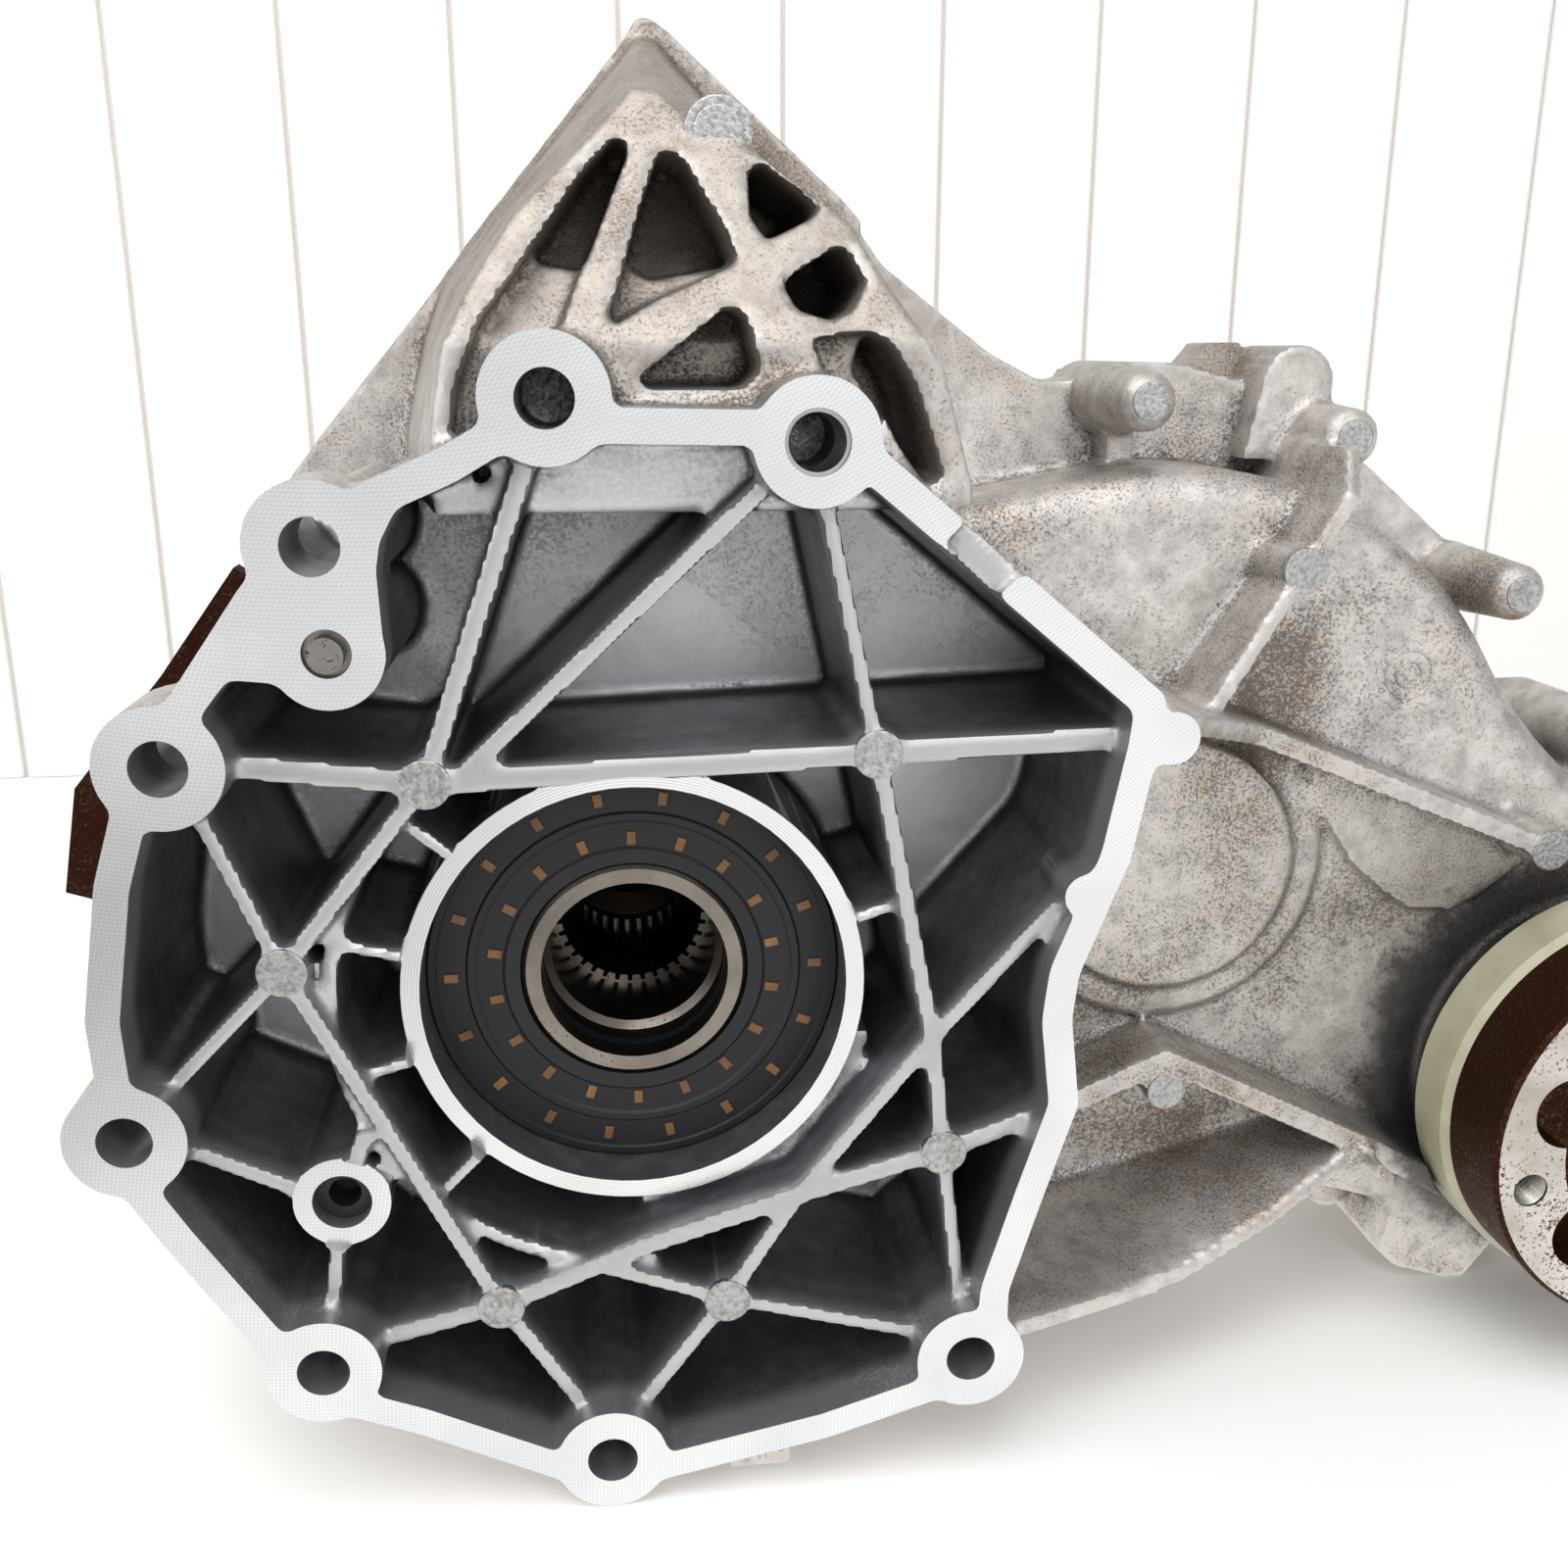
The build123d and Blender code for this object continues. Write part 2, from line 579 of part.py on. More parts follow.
def tower():
    """The ribbed tower: a block whose front leans back, with pockets sunk between its ribs."""
    front = Plane.XZ.offset(-TOWER_FRONT_Y) * area(TOWER_FRONT)
    back = Plane.XZ.offset(FLANGE_T - SPLIT_Y) * area(TOWER_BACK)
    block = loft([front, back], ruled=True) - leaning_front(0)
    for points, depth in LEANING_POCKETS:
        pocket = slab(area(points), TOWER_FRONT_Y - 1, SPLIT_Y - FLANGE_T - 4)
        block = block - (pocket & leaning_front(depth))
    return block + rod(TOWER_PAD, TOWER_PAD_R, TOWER_PAD_Y, SPLIT_Y)


def bolt_boss(centre, depth):
    """A boss that tapers forward from the split flange to a small flat end."""
    y = FLANGE_Y + depth
    foot = SPLIT_Y - FLANGE_T
    profile = [(0, y), (BOSS_PAD_R, y), (BOSS_END_R, y + 2.5), (SPLIT_BOSS_R, foot)]
    return lathe(centre, profile + [(SPLIT_BOSS_R, foot + 1), (0, foot + 1)])


def front_case():
    """The gear case in front of the split: wall, sides, flange, idler seat and output neck."""
    case = slab(case_outline(WALL), WALL_Y, SPLIT_Y)
    case = fillet(case.edges().group_by(Axis.Y)[0], SHOULDER)
    case = case + slab(split_outline(), SPLIT_Y - FLANGE_T, SPLIT_Y)
    case = case + tower()
    case = case + [bolt_boss(centre, depth) for centre, depth in FRONT_BOSSES.items()]
    stays = Sketch() + [bar(c, nearest_chamber(c), 7) for c in FRONT_BOSSES]
    case = case + slab(stays & case_outline(WALL + 30), SPLIT_Y - FLANGE_T - 12, SPLIT_Y)
    case = case + rod(IDLER, IDLER_STEP_R, WALL_Y - IDLER_STEP_RISE, WALL_Y + 1)
    case = case + rod(IDLER, IDLER_DISC_R, WALL_Y - IDLER_DISC_RISE, WALL_Y + 1)
    return case + rod(OUTPUT, OUT_NECK_R, OUT_NECK_Y, INNER_Y)


def web(p, q, y_p, y_q, y_root, width):
    """An upright rib from p to q; its crest runs from y_p to y_q."""
    dx, dz = q[0] - p[0], q[1] - p[1]
    length = math.hypot(dx, dz)
    side = Plane(origin=(p[0], 0, p[1]), x_dir=(dx, 0, dz), z_dir=(-dz, 0, dx))
    face = side * area([(0, y_p), (length, y_q), (length, y_root), (0, y_root)])
    return extrude(face, amount=width / 2, both=True)


def ejector_pads():
    return [rod(centre, r, CASE_RIB_Y - 0.5, WALL_Y + 1) for centre, r in EJECTOR_PADS]


def outer_ribs():
    """Ribs, round pads and the raised field on the outside of the gear case."""
    crest, root = CASE_RIB_Y, WALL_Y + 1
    ribs = web(NUB, RIB_START, FLANGE_Y + 8, crest - 14, root, CASE_RIB_W)
    ribs = ribs + web(RIB_START, RIB_BEND, crest - 14, crest, root, CASE_RIB_W)
    ribs = ribs + web(RIB_BEND, RIB_END, crest, crest, root, CASE_RIB_W)
    ribs = ribs + web((131, 51), RIB_PAD, crest - 6, crest, root, SIDE_RIB_W)
    ribs = ribs + web(RIB_PAD, RIB_TOP[0], crest, crest, SPLIT_Y - 5, SIDE_RIB_W)
    ribs = ribs + web(RIB_TOP[0], RIB_TOP[1], crest, crest + 9, SPLIT_Y - 5, SIDE_RIB_W)
    for p, q in zip(LOW_RIB, LOW_RIB[1:]):
        ribs = ribs + web(p, q, crest, crest, root, LOW_RIB_W)
    for bends, r in (((RIB_START, RIB_BEND), CASE_RIB_W / 2), (LOW_RIB[1:3], LOW_RIB_W / 2)):
        ribs = ribs + [rod(c, r, crest, root) for c in bends]
    field = area([RIB_BEND, *BULGE, RIB_END]) & offset(case_outline(WALL), -SHOULDER)
    return ribs + ejector_pads() + slab(field, WALL_Y - BULGE_RISE, WALL_Y + 1)


def strip(upper, thickness):
    """A band that follows a line of points from above."""
    return area(upper + [(x, z - thickness) for x, z in reversed(upper)])


def lower_web():
    """The curved web from the lower right boss to the gear case; its front edge runs back as it goes."""
    front = Plane.XZ.offset(-WEB_FRONT_Y) * strip(WEB_FRONT, WEB_T)
    back = Plane.XZ.offset(-WALL_Y - 1) * strip(WEB_BACK, WEB_T)
    start, finish = WEB_FRONT[0][0], WEB_FRONT[-1][0]
    edge = [(start - 5, WEB_FRONT_Y - 5), (start + 5, WEB_FRONT_Y), (finish - 3, CASE_RIB_Y)]
    ahead = area(edge + [(finish + 5, WEB_FRONT_Y - 5)])
    return loft([front, back], ruled=True) - Pos(0, 0, -130) * extrude(ahead, amount=100)


def top_lug():
    """The upright lug at the top right, round on top and as deep as half the flange again."""
    x, z = TOP_LUG
    foot = area([(x - TOP_LUG_R, z), (x - 13, z - 18), (x + 8, z - 18), (x + TOP_LUG_R, z)])
    return slab(foot + disc(TOP_LUG, TOP_LUG_R), TOP_LUG_Y, SPLIT_Y)


def front_housing():
    body = gearbox_rim() + bell_wall() + slab(rim_outline(), WALL_Y, INNER_Y)
    body = body + bell_ribs() + bore_ring()
    body = body + [rod(c, PAD_R, RIB_Y - 0.5, WALL_Y) for c in PADS.values()]
    body = body + rod(PLUG, PLUG_BOSS_R, PLUG_FACE_Y, WALL_Y)
    body = body + slab(bar((25, -104), (25, -114), 14), FLANGE_Y + 4, FLANGE_Y + 16)
    body = body + front_case() + outer_ribs() + lower_web() + top_lug() + slab(area(LUG), WALL_Y, SPLIT_Y)
    body = body + rod(BRACKET_BOLT, 9, WALL_Y - 8, INNER_Y)
    body = body - slab(case_outline(0), INNER_Y, SPLIT_Y + 1)
    body = body - tube(OUTPUT, OUT_NECK_R, OUT_RING_R + 1, OUT_FACE_Y, OUT_RING_Y + OUT_RING_L + 1)
    body = body + tube(IDLER, IDLER_BEARING_R, IDLER_COLLAR_R, INNER_Y - 1, IDLER_FRONT_Y + IDLER_BEARING_W)
    body = body - rod(BRACKET_BOLT, SPLIT_BOLT_R + THREAD_AIR, WALL_Y - 7, INNER_Y + 1)
    body = body - rod(MAIN, SEAL_R, HUB_FACE_Y - 1, BEARING_Y + BEARING_W)
    body = body - tube(MAIN, SEAL_R - 1, SEAL_R + 1.6, SEAL_W + 1.5, BEARING_Y - 0.4)
    body = body - rod(MAIN, SHOULDER_R, BEARING_Y, INNER_Y + 1)
    holes = [rod(c, FLANGE_HOLE_R, FLANGE_Y - 1, FLANGE_Y + FLANGE_HOLE_L) for c in FLANGE_HOLES.values()]
    body = body - holes
    body = body - rod(FLANGE_HOLES["b"], SLEEVE_R, FLANGE_Y - 1, FLANGE_Y + SLEEVE_L)
    body = body - slab(bar(LOW_LAND[0], LOW_LAND[1], 16), FLANGE_Y - 1, FLANGE_Y + LOW_LAND_DROP)
    body = body - rod(PIN, PIN_R, FLANGE_Y - 1, FLANGE_Y + PIN_SINK + PIN_L)
    body = body - rod(PLUG, PLUG_R, PLUG_FACE_Y - 1, PLUG_FACE_Y + 24)
    body = body - rod(IDLER, IDLER_BEARING_R, IDLER_FRONT_Y, SPLIT_Y)
    body = body - rod(OUTPUT, OUT_BEARING_R, OUT_BEARING_Y, INNER_Y + 1)
    body = body - rod(OUTPUT, OUT_BEARING_R - 3, OUT_NECK_Y - 1, INNER_Y + 1)
    body = body - rod(OUTPUT, OUT_BEARING_R, OUT_NECK_Y - 1, OUT_NECK_Y + 6)
    bolt_end = SPLIT_Y - BOLT_GRIP + FLANGE_T
    return body - [rod(c, SPLIT_BOLT_R + THREAD_AIR, bolt_end, SPLIT_Y + 1) for c in SPLIT_BOLTS]


def sump():
    """The oil sump under the clutch, whose flat bottom is a foot."""
    low = Pos(0, SPLIT_Y + SUMP_L / 2, (FLOOR_Z - 40) / 2) * Box(SUMP_W, SUMP_L, -40 - FLOOR_Z)
    return fillet(low.edges().filter_by(Axis.Y).group_by(Axis.Z)[0], 12)


def ear_rails():
    """Pairs of rails on the chamber wall; the sliding ring's ears run between them."""
    rails = Sketch()
    for turn in EAR_ANGLES:
        for side in (-1, 1):
            rail = Pos(MAIN_CHAMBER_R - 3, side * (EAR_W / 2 + 3.4)) * Rectangle(8, 6)
            rails = rails + Rot(0, 0, turn) * rail
    return rails


def rear_case_ribs():
    """Ribs on the back of the gear case that run out from its two bearing seats."""
    arms = Sketch()
    for centre, near, far, count, start in ((IDLER, 26, 92, 12, 15), (OUTPUT, 30, 58, 8, 20)):
        ends = zip(spread(centre, near, count, start), spread(centre, far, count, start))
        arms = arms + [bar(p, q, CASE_RIB_W) for p, q in ends]
    arms = arms - disc(MAIN, MAIN_CHAMBER_R + WALL - 1)
    return slab(arms & case_outline(WALL - 1), CASE_BACK_Y + WALL - 1, CASE_BACK_Y + WALL + 5)


def rear_housing():
    drum = rod(MAIN, MAIN_CHAMBER_R + WALL, SPLIT_Y, REAR_WALL_Y + REAR_WALL)
    body = slab(split_outline(), SPLIT_Y, SPLIT_Y + FLANGE_T) + drum + sump()
    body = body + slab(case_outline(WALL), SPLIT_Y, CASE_BACK_Y + WALL)
    body = body + rod(MAIN, REAR_NECK_R, REAR_WALL_Y, REAR_SEAL_Y + REAR_SEAL_W)
    body = body + rod(OUTPUT, OUT_REAR_BEARING_R + 6, SPLIT_Y, OUT_REAR_BEARING_Y + OUT_REAR_BEARING_W + 6)
    body = body + rod(IDLER, IDLER_DISC_R, CASE_BACK_Y, CASE_BACK_Y + WALL + IDLER_DISC_RISE)
    body = body + rod(PINION, PINION_R + 9, REAR_WALL_Y - 24, REAR_WALL_Y + REAR_WALL + 2)
    body = body + slab(area(REAR_LUG), SPLIT_Y, SPLIT_Y + REAR_LUG_L)
    body = body + rear_case_ribs() + [rod(c, PLUG_HEAD_R + 3, CASE_BACK_Y, PLUG_SEAT_Y) for c in OIL_PLUGS]
    ribs = Sketch()
    for turn in (0, 45, 135, 180, 225, 270, 315):
        ribs = ribs + bar(on_main(turn, REAR_NECK_R - 3), on_main(turn, MAIN_CHAMBER_R + 12), CASE_RIB_W)
    ribs = slab(ribs & disc(MAIN, MAIN_CHAMBER_R + 10), REAR_WALL_Y - 40, REAR_SEAL_Y - 6)
    body = body + (ribs - rod(MAIN, REAR_NECK_R - 2, REAR_WALL_Y - 41, REAR_SEAL_Y))
    body = body - slab(case_outline(0), SPLIT_Y - 1, CASE_BACK_Y)
    body = body - rod(MAIN, MAIN_CHAMBER_R, SPLIT_Y - 1, REAR_WALL_Y)
    body = body - slab(Pos(0, -82) * Rectangle(SUMP_W - 16, 52), SPLIT_Y + 12, SPLIT_Y + SUMP_L - 8)
    body = body - rod(PINION, PINION_R + 4, RAMP_Y - 2, REAR_WALL_Y)
    body = body + tube(IDLER, IDLER_BEARING_R, IDLER_COLLAR_R, IDLER_REAR_Y, CASE_BACK_Y + 1)
    body = body + slab(ear_rails(), SLIDER_Y - 3, RAMP_Y - 2.2)
    body = body - Pos(*BREATHER) * Pos(0, 0, -10) * Cylinder(3.52, 20)
    body = body - rod(MAIN, REAR_BEARING_R, REAR_BEARING_Y, REAR_SEAL_Y + REAR_SEAL_W + 1)
    body = body - rod(MAIN, REAR_BEARING_R - 4, REAR_WALL_Y - 1, REAR_BEARING_Y + 1)
    body = body - rod(IDLER, IDLER_BEARING_R, IDLER_REAR_Y - 1, CASE_BACK_Y)
    body = body - rod(OUTPUT, OUT_REAR_BEARING_R, SPLIT_Y - 6, OUT_REAR_BEARING_Y + OUT_REAR_BEARING_W)
    body = body - rod(PINION, PINION_SHAFT_R + FIT, REAR_WALL_Y - 1, REAR_WALL_Y + 12)
    body = body - [rod(c, PLUG_THREAD_R + THREAD_AIR, CASE_BACK_Y - 1, PLUG_SEAT_Y + 1) for c in OIL_PLUGS]
    seat = SPLIT_Y + FLANGE_T
    holes = [rod(c, SPLIT_BOLT_R + BOLT_AIR, SPLIT_Y - 1, seat + 1) for c in SPLIT_BOLTS]
    faces = [rod(c, SPLIT_BOSS_R + 0.2, seat, seat + 30) for c in SPLIT_BOLTS]
    return body - holes - faces


def hex_bolt(centre, r, across, y_seat, grip):
    """A bolt put in from behind: hexagon head with a washer face, and a plain shank."""
    head = Pos(centre[0], centre[1]) * RegularPolygon(across / math.sqrt(3), 6)
    bolt = slab(head, y_seat + 1.5, y_seat + BOLT_HEAD_H) + rod(centre, across * 0.62, y_seat, y_seat + 1.5)
    return bolt + rod(centre, r, y_seat - grip, y_seat + 1)


def split_bolts():
    seat = SPLIT_Y + FLANGE_T
    return Compound([hex_bolt(c, SPLIT_BOLT_R, BOLT_AF, seat, BOLT_GRIP).solid() for c in SPLIT_BOLTS])


def ring_of_balls(centre, r, ball_r, count, y, start=0.0):
    return Compound([Pos(x, y, z) * Sphere(ball_r) for x, z in spread(centre, r, count, start)])


def bearing_outer(centre, r_out, bore, width, y):
    """Outer ring with a groove for the balls; bore is the radius of the shaft seat."""
    middle = (r_out + bore) / 2
    ball = (r_out - bore) * BALL_SHARE
    ring = tube(centre, middle + ball * 0.45, r_out, y, y + width)
    groove = Pos(centre[0], y + width / 2, centre[1]) * Rot(90, 0, 0) * Torus(middle, ball + FIT)
    return ring - groove


def bearing_inner(centre, r_out, bore, width, y):
    middle = (r_out + bore) / 2
    ball = (r_out - bore) * BALL_SHARE
    ring = tube(centre, bore, middle - ball * 0.45, y, y + width)
    groove = Pos(centre[0], y + width / 2, centre[1]) * Rot(90, 0, 0) * Torus(middle, ball + FIT)
    return ring - groove


def bearing_balls(centre, r_out, bore, width, y, count):
    return ring_of_balls(centre, (r_out + bore) / 2, (r_out - bore) * BALL_SHARE, count, y + width / 2)


def bearing_cage(centre, r_out, bore, width, y, count):
    """A plain ring between the races with a pocket for each ball."""
    middle = (r_out + bore) / 2
    ball = (r_out - bore) * BALL_SHARE
    ring = tube(centre, middle - ball * 0.3, middle + ball * 0.3, y + width * 0.1, y + width * 0.9)
    for k in range(count):
        turn = 360 * k / count
        x, z = on_main(turn, middle)
        pocket = Rot(0, 90 - turn, 0) * Cylinder(ball + 0.15, ball)
        ring = ring - Pos(centre[0] + x, y + width / 2, centre[1] + z) * pocket
    return ring


def input_shaft_seal():
    """Rubber-covered seal: a flat face with two grooves, and a lip that runs on the shaft."""
    profile = [
        (SEAL_LIP_R + FIT, 0.4), (28, 0), (28.6, 0.5), (34, 0.5), (34.6, 0), (36, 0), (36.5, 0.5),
        (42.6, 0.5), (43, 0), (SEAL_R - 0.6, 0), (SEAL_R, 0.8), (SEAL_R, SEAL_W), (40, SEAL_W),
        (39, 3), (30, 3), (27.5, SEAL_W), (SEAL_LIP_R + FIT, SEAL_W - 1),
    ]
    return lathe(MAIN, profile)


def snap_ring(centre, r_bore, depth, y0, y1, gap_angle):
    """A circlip that sits in the groove of a bore, open at one place."""
    ring = disc(centre, r_bore + depth) - disc(centre, r_bore - 3)
    mouth = (centre[0] + 1.5 * r_bore * math.cos(gap_angle), centre[1] + 1.5 * r_bore * math.sin(gap_angle))
    return slab(ring - bar(centre, mouth, 9), y0, y1)


def main_shaft():
    spline_end = SPLINE_Y + SPLINE_L
    bearing_end = BEARING_Y + BEARING_W
    rear_bearing_end = REAR_BEARING_Y + REAR_BEARING_W
    nut_seat = REAR_FLANGE_Y + 6
    profile = [
        (0, 0), (SEAL_LIP_R - 1.2, 0), (SEAL_LIP_R, 1.2), (SEAL_LIP_R, BEARING_Y - 2),
        (SHAFT_R, BEARING_Y - 2), (SHAFT_R, bearing_end),
        (SHAFT_COLLAR_R, bearing_end), (SHAFT_COLLAR_R, GEAR_Y - 5),
        (NECK_R, GEAR_Y - 5), (NECK_R, SLIDER_Y), (REAR_SEAT_R, SLIDER_Y), (REAR_SEAT_R, rear_bearing_end),
        (REAR_END_SPLINE_R, rear_bearing_end), (REAR_END_SPLINE_R, nut_seat), (REAR_THREAD_R, nut_seat),
        (REAR_THREAD_R, nut_seat + REAR_THREAD_L), (0, nut_seat + REAR_THREAD_L),
    ]
    shaft = lathe(MAIN, profile)
    bore = [
        (0, -1), (MOUTH_R, -1), (MOUTH_R, 6), (MOUTH_R + 1.6, 6), (MOUTH_R + 1.6, 9), (MOUTH_R, 9),
        (MOUTH_R, MOUTH_L), (SPLINE_R + 1.8, MOUTH_L + 1.6), (SPLINE_R + 1.8, SPLINE_Y),
        (SPLINE_R, SPLINE_Y), (SPLINE_R, spline_end + 4), (OIL_BORE_R, spline_end + 8),
        (OIL_BORE_R, spline_end + OIL_BORE_L), (0, spline_end + OIL_BORE_L + 7),
    ]
    splines = star(SPLINE_R - 0.5, SPLINE_R + SPLINE_DEPTH, SPLINE_TEETH)
    return shaft - lathe(MAIN, bore) - slab(splines, SPLINE_Y - 1, spline_end)


def main_gear(phase):
    gear = helical_gear(MAIN, MAIN_TEETH, phase, 1)
    gear = gear + rod(MAIN, NECK_R + 2 * NEEDLE_R + 6, GEAR_END_Y - 1, DRUM_FLOOR_Y + DRUM_FLOOR)
    return gear - rod(MAIN, NECK_R + 2 * NEEDLE_R, GEAR_Y - 1, DRUM_FLOOR_Y + DRUM_FLOOR + 1)


def gear_needles():
    centres = spread(MAIN, NECK_R + NEEDLE_R, 14)
    return Compound([rod(c, NEEDLE_R - FIT, GEAR_Y + 2, GEAR_END_Y + 2).solid() for c in centres])


def tabs(r_in, r_out, width):
    return [bar(on_main(a, r_in), on_main(a, r_out), width) for a in [360 / TABS * k for k in range(TABS)]]


def clutch_drum():
    floor = tube(MAIN, NECK_R + 2 * NEEDLE_R + 6, DRUM_R, DRUM_FLOOR_Y, DRUM_FLOOR_Y + DRUM_FLOOR)
    slots = tabs(DRUM_R - DRUM_T - 3, TAB_R + 0.8, TAB_W + 2)
    shell = disc(MAIN, DRUM_R) - disc(MAIN, DRUM_R - DRUM_T) - slots
    return floor + slab(shell, DRUM_FLOOR_Y + DRUM_FLOOR, DRUM_FLOOR_Y + DRUM_L)


def steel_plates():
    plate = disc(MAIN, PLATE_OUT_R) - disc(MAIN, PLATE_IN_R) + tabs(PLATE_OUT_R - 2, TAB_R, TAB_W)
    levels = [PACK_Y + PLATE_PITCH * k for k in range(PLATES)]
    return Compound([slab(plate, y, y + PLATE_T).solid() for y in levels])


def friction_plates():
    slots = tabs(HUB_OUT_R - 2, PLATE_IN_R, TAB_W + 2)
    plate = disc(MAIN, PLATE_OUT_R - 0.5) - disc(MAIN, HUB_OUT_R + 1) - slots
    levels = [PACK_Y + PLATE_PITCH * (k + 0.5) for k in range(PLATES)]
    return Compound([slab(plate, y, y + PLATE_T).solid() for y in levels])


def clutch_hub():
    rim = disc(MAIN, HUB_OUT_R) - disc(MAIN, HUB_IN_R) + tabs(HUB_IN_R + 1, PLATE_IN_R - 1, TAB_W)
    hub = slab(rim, PACK_Y, PRESS_Y)
    hub = hub + tube(MAIN, NECK_R, HUB_IN_R + 1, PACK_Y + 10, PACK_Y + 18)
    return hub + tube(MAIN, NECK_R, NECK_R + 6, PACK_Y + 2, PACK_Y + 26)


def pressure_plate():
    plate = disc(MAIN, PLATE_OUT_R) - disc(MAIN, PLATE_IN_R) + tabs(PLATE_OUT_R - 2, TAB_R, TAB_W)
    return slab(plate, PRESS_Y, PRESS_Y + PRESS_T)


def ramp_tracks(y0, y1, turn):
    """Curved tracks for the balls, one for each, as long as the ball's half of the ramp angle."""
    tracks = Sketch()
    half = RAMP_ANGLE / 4
    for k in range(BALLS):
        a = 90 + 360 / BALLS * k + turn * half
        arc = [on_main(a + half * s, BALL_RING_R) for s in (-1, 0, 1)]
        tracks = tracks + SlotArc(ThreePointArc(*arc), 2 * BALL_R + 0.3)
    return slab(tracks, y0, y1)


def sliding_ring():
    """The ring that moves forward: it can't turn, because its ears run between rails of the casing."""
    ring = disc(MAIN, RAMP_R) - disc(MAIN, RAMP_IN_R)
    ears = [bar(on_main(a, RAMP_R - 2), on_main(a, EAR_R), EAR_W) for a in EAR_ANGLES]
    ring = slab(ring + ears, SLIDER_Y, SLIDER_Y + SLIDER_T)
    deep = BALL_R - RAMP_GAP / 2 + 0.1
    return ring - ramp_tracks(SLIDER_Y + SLIDER_T - deep, SLIDER_Y + SLIDER_T + 1, 1)


def turning_ring():
    """The ring that the actuator turns, with a toothed sector at its top."""
    wedge = area([(0, 0), (-46, 80), (-46, 90), (66, 90), (66, 44)])
    sector = gear_face(SECTOR_MODULE, SECTOR_TEETH, 90) & wedge
    ring = slab(sector + disc(MAIN, RAMP_R) - disc(MAIN, RAMP_IN_R), RAMP_Y, RAMP_END_Y)
    deep = BALL_R - RAMP_GAP / 2 + 0.1
    return ring - ramp_tracks(RAMP_Y - 1, RAMP_Y + deep, -1)


def ball_cage():
    cage = disc(MAIN, BALL_RING_R + 7) - disc(MAIN, BALL_RING_R - 7)
    cage = cage - [disc(c, BALL_R + 0.1) for c in spread(MAIN, BALL_RING_R, BALLS, 90)]
    return slab(cage, BALL_Y - 1.2, BALL_Y + 0.4)


def thrust_bearing(y0, r_in, r_out):
    """Needle thrust bearing as one ring with its needles' slots."""
    ring = disc(MAIN, r_out) - disc(MAIN, r_in)
    slots = Sketch() + [bar(on_main(a, r_in + 2), on_main(a, r_out - 2), 1.6) for a in range(0, 360, 30)]
    return slab(ring, y0, y0 + THRUST_T) - slab(slots, y0 + THRUST_T - 0.8, y0 + THRUST_T + 1)


def actuator_pinion():
    pinion = slab(gear_face(SECTOR_MODULE, PINION_TEETH, 270 + 180 / PINION_TEETH), RAMP_Y, RAMP_END_Y)
    pinion = Pos(PINION[0], 0, PINION[1]) * pinion
    return pinion + rod(PINION, PINION_SHAFT_R, RAMP_Y - 1, REAR_WALL_Y + 20)


def actuator_housing():
    """The closed gear housing of the actuator, over the pinion shaft and the motor."""
    line = make_hull(disc(PINION, PINION_R + 8).edges() + disc(MOTOR, MOTOR_R + 3).edges())
    y0 = ACTUATOR_Y
    block = Pos((MOTOR[0] + CONNECTOR_X) / 2, MOTOR[1]) * Rectangle(CONNECTOR_X - MOTOR[0], 26)
    body = slab(Sketch() + line, y0, y0 + ACTUATOR_T) + slab(block, y0, y0 + 22)
    body = body - rod(MAIN, REAR_NECK_R + 2, y0 - 1, y0 + ACTUATOR_T + 1)
    x, z = MOTOR
    feet = ((x - 74, z), (x + 22, z - 25), (x - 12, z + MOTOR_R + 3))
    body = body + [rod(c, FOOT_BOSS_R, y0, y0 + FOOT_BOSS_L) for c in feet]
    return body - rod(PINION, PINION_SHAFT_R + FIT, y0 - 1, REAR_WALL_Y + 21)


def actuator_motor():
    front = ACTUATOR_Y - MOTOR_L
    can = rod(MOTOR, MOTOR_R, front, ACTUATOR_Y)
    can = fillet(can.edges().group_by(Axis.Y)[0], 5)
    return can + rod(MOTOR, 9, front - 3, front + 1)


def actuator_connector():
    width, depth, height = CONNECTOR_SIZE
    middle = Pos(CONNECTOR_X + width / 2, ACTUATOR_Y + 6 + depth / 2, MOTOR[1])
    shell = fillet((middle * Box(width, depth, height)).edges().filter_by(Axis.X), 3)
    wall = CONNECTOR_WALL
    return shell - middle * Pos(wall + 1, 0, 0) * Box(width - 2 * wall, depth - 2 * wall, height - 2 * wall)


def rear_output_seal():
    profile = [
        (REAR_HUB_R + FIT, 1), (30, 3), (38, 3), (38.6, 0), (REAR_BEARING_R, 0), (REAR_BEARING_R, 7.4),
        (REAR_BEARING_R - 0.6, REAR_SEAL_W), (REAR_HUB_R + FIT, REAR_SEAL_W),
    ]
    return Pos(0, REAR_SEAL_Y, 0) * lathe(MAIN, profile)


def rear_output_flange():
    y0 = REAR_BEARING_Y + REAR_BEARING_W
    face = REAR_FLANGE_Y + REAR_FLANGE_T
    profile = [
        (REAR_END_SPLINE_R, y0), (REAR_HUB_R - 1, y0), (REAR_HUB_R, y0 + 1), (REAR_HUB_R, REAR_FLANGE_Y - 3),
        (REAR_HUB_R + 4, REAR_FLANGE_Y), (REAR_FLANGE_R, REAR_FLANGE_Y), (REAR_FLANGE_R, face),
        (REAR_RECESS_R, face), (REAR_RECESS_R, face - 3), (24, REAR_FLANGE_Y + 5),
        (REAR_END_SPLINE_R, REAR_FLANGE_Y + 5),
    ]
    holes = [rod(c, REAR_BOLT_R, REAR_FLANGE_Y - 1, face + 1) for c in spread(MAIN, REAR_PCD / 2, 4, 45)]
    return lathe(MAIN, profile) - holes


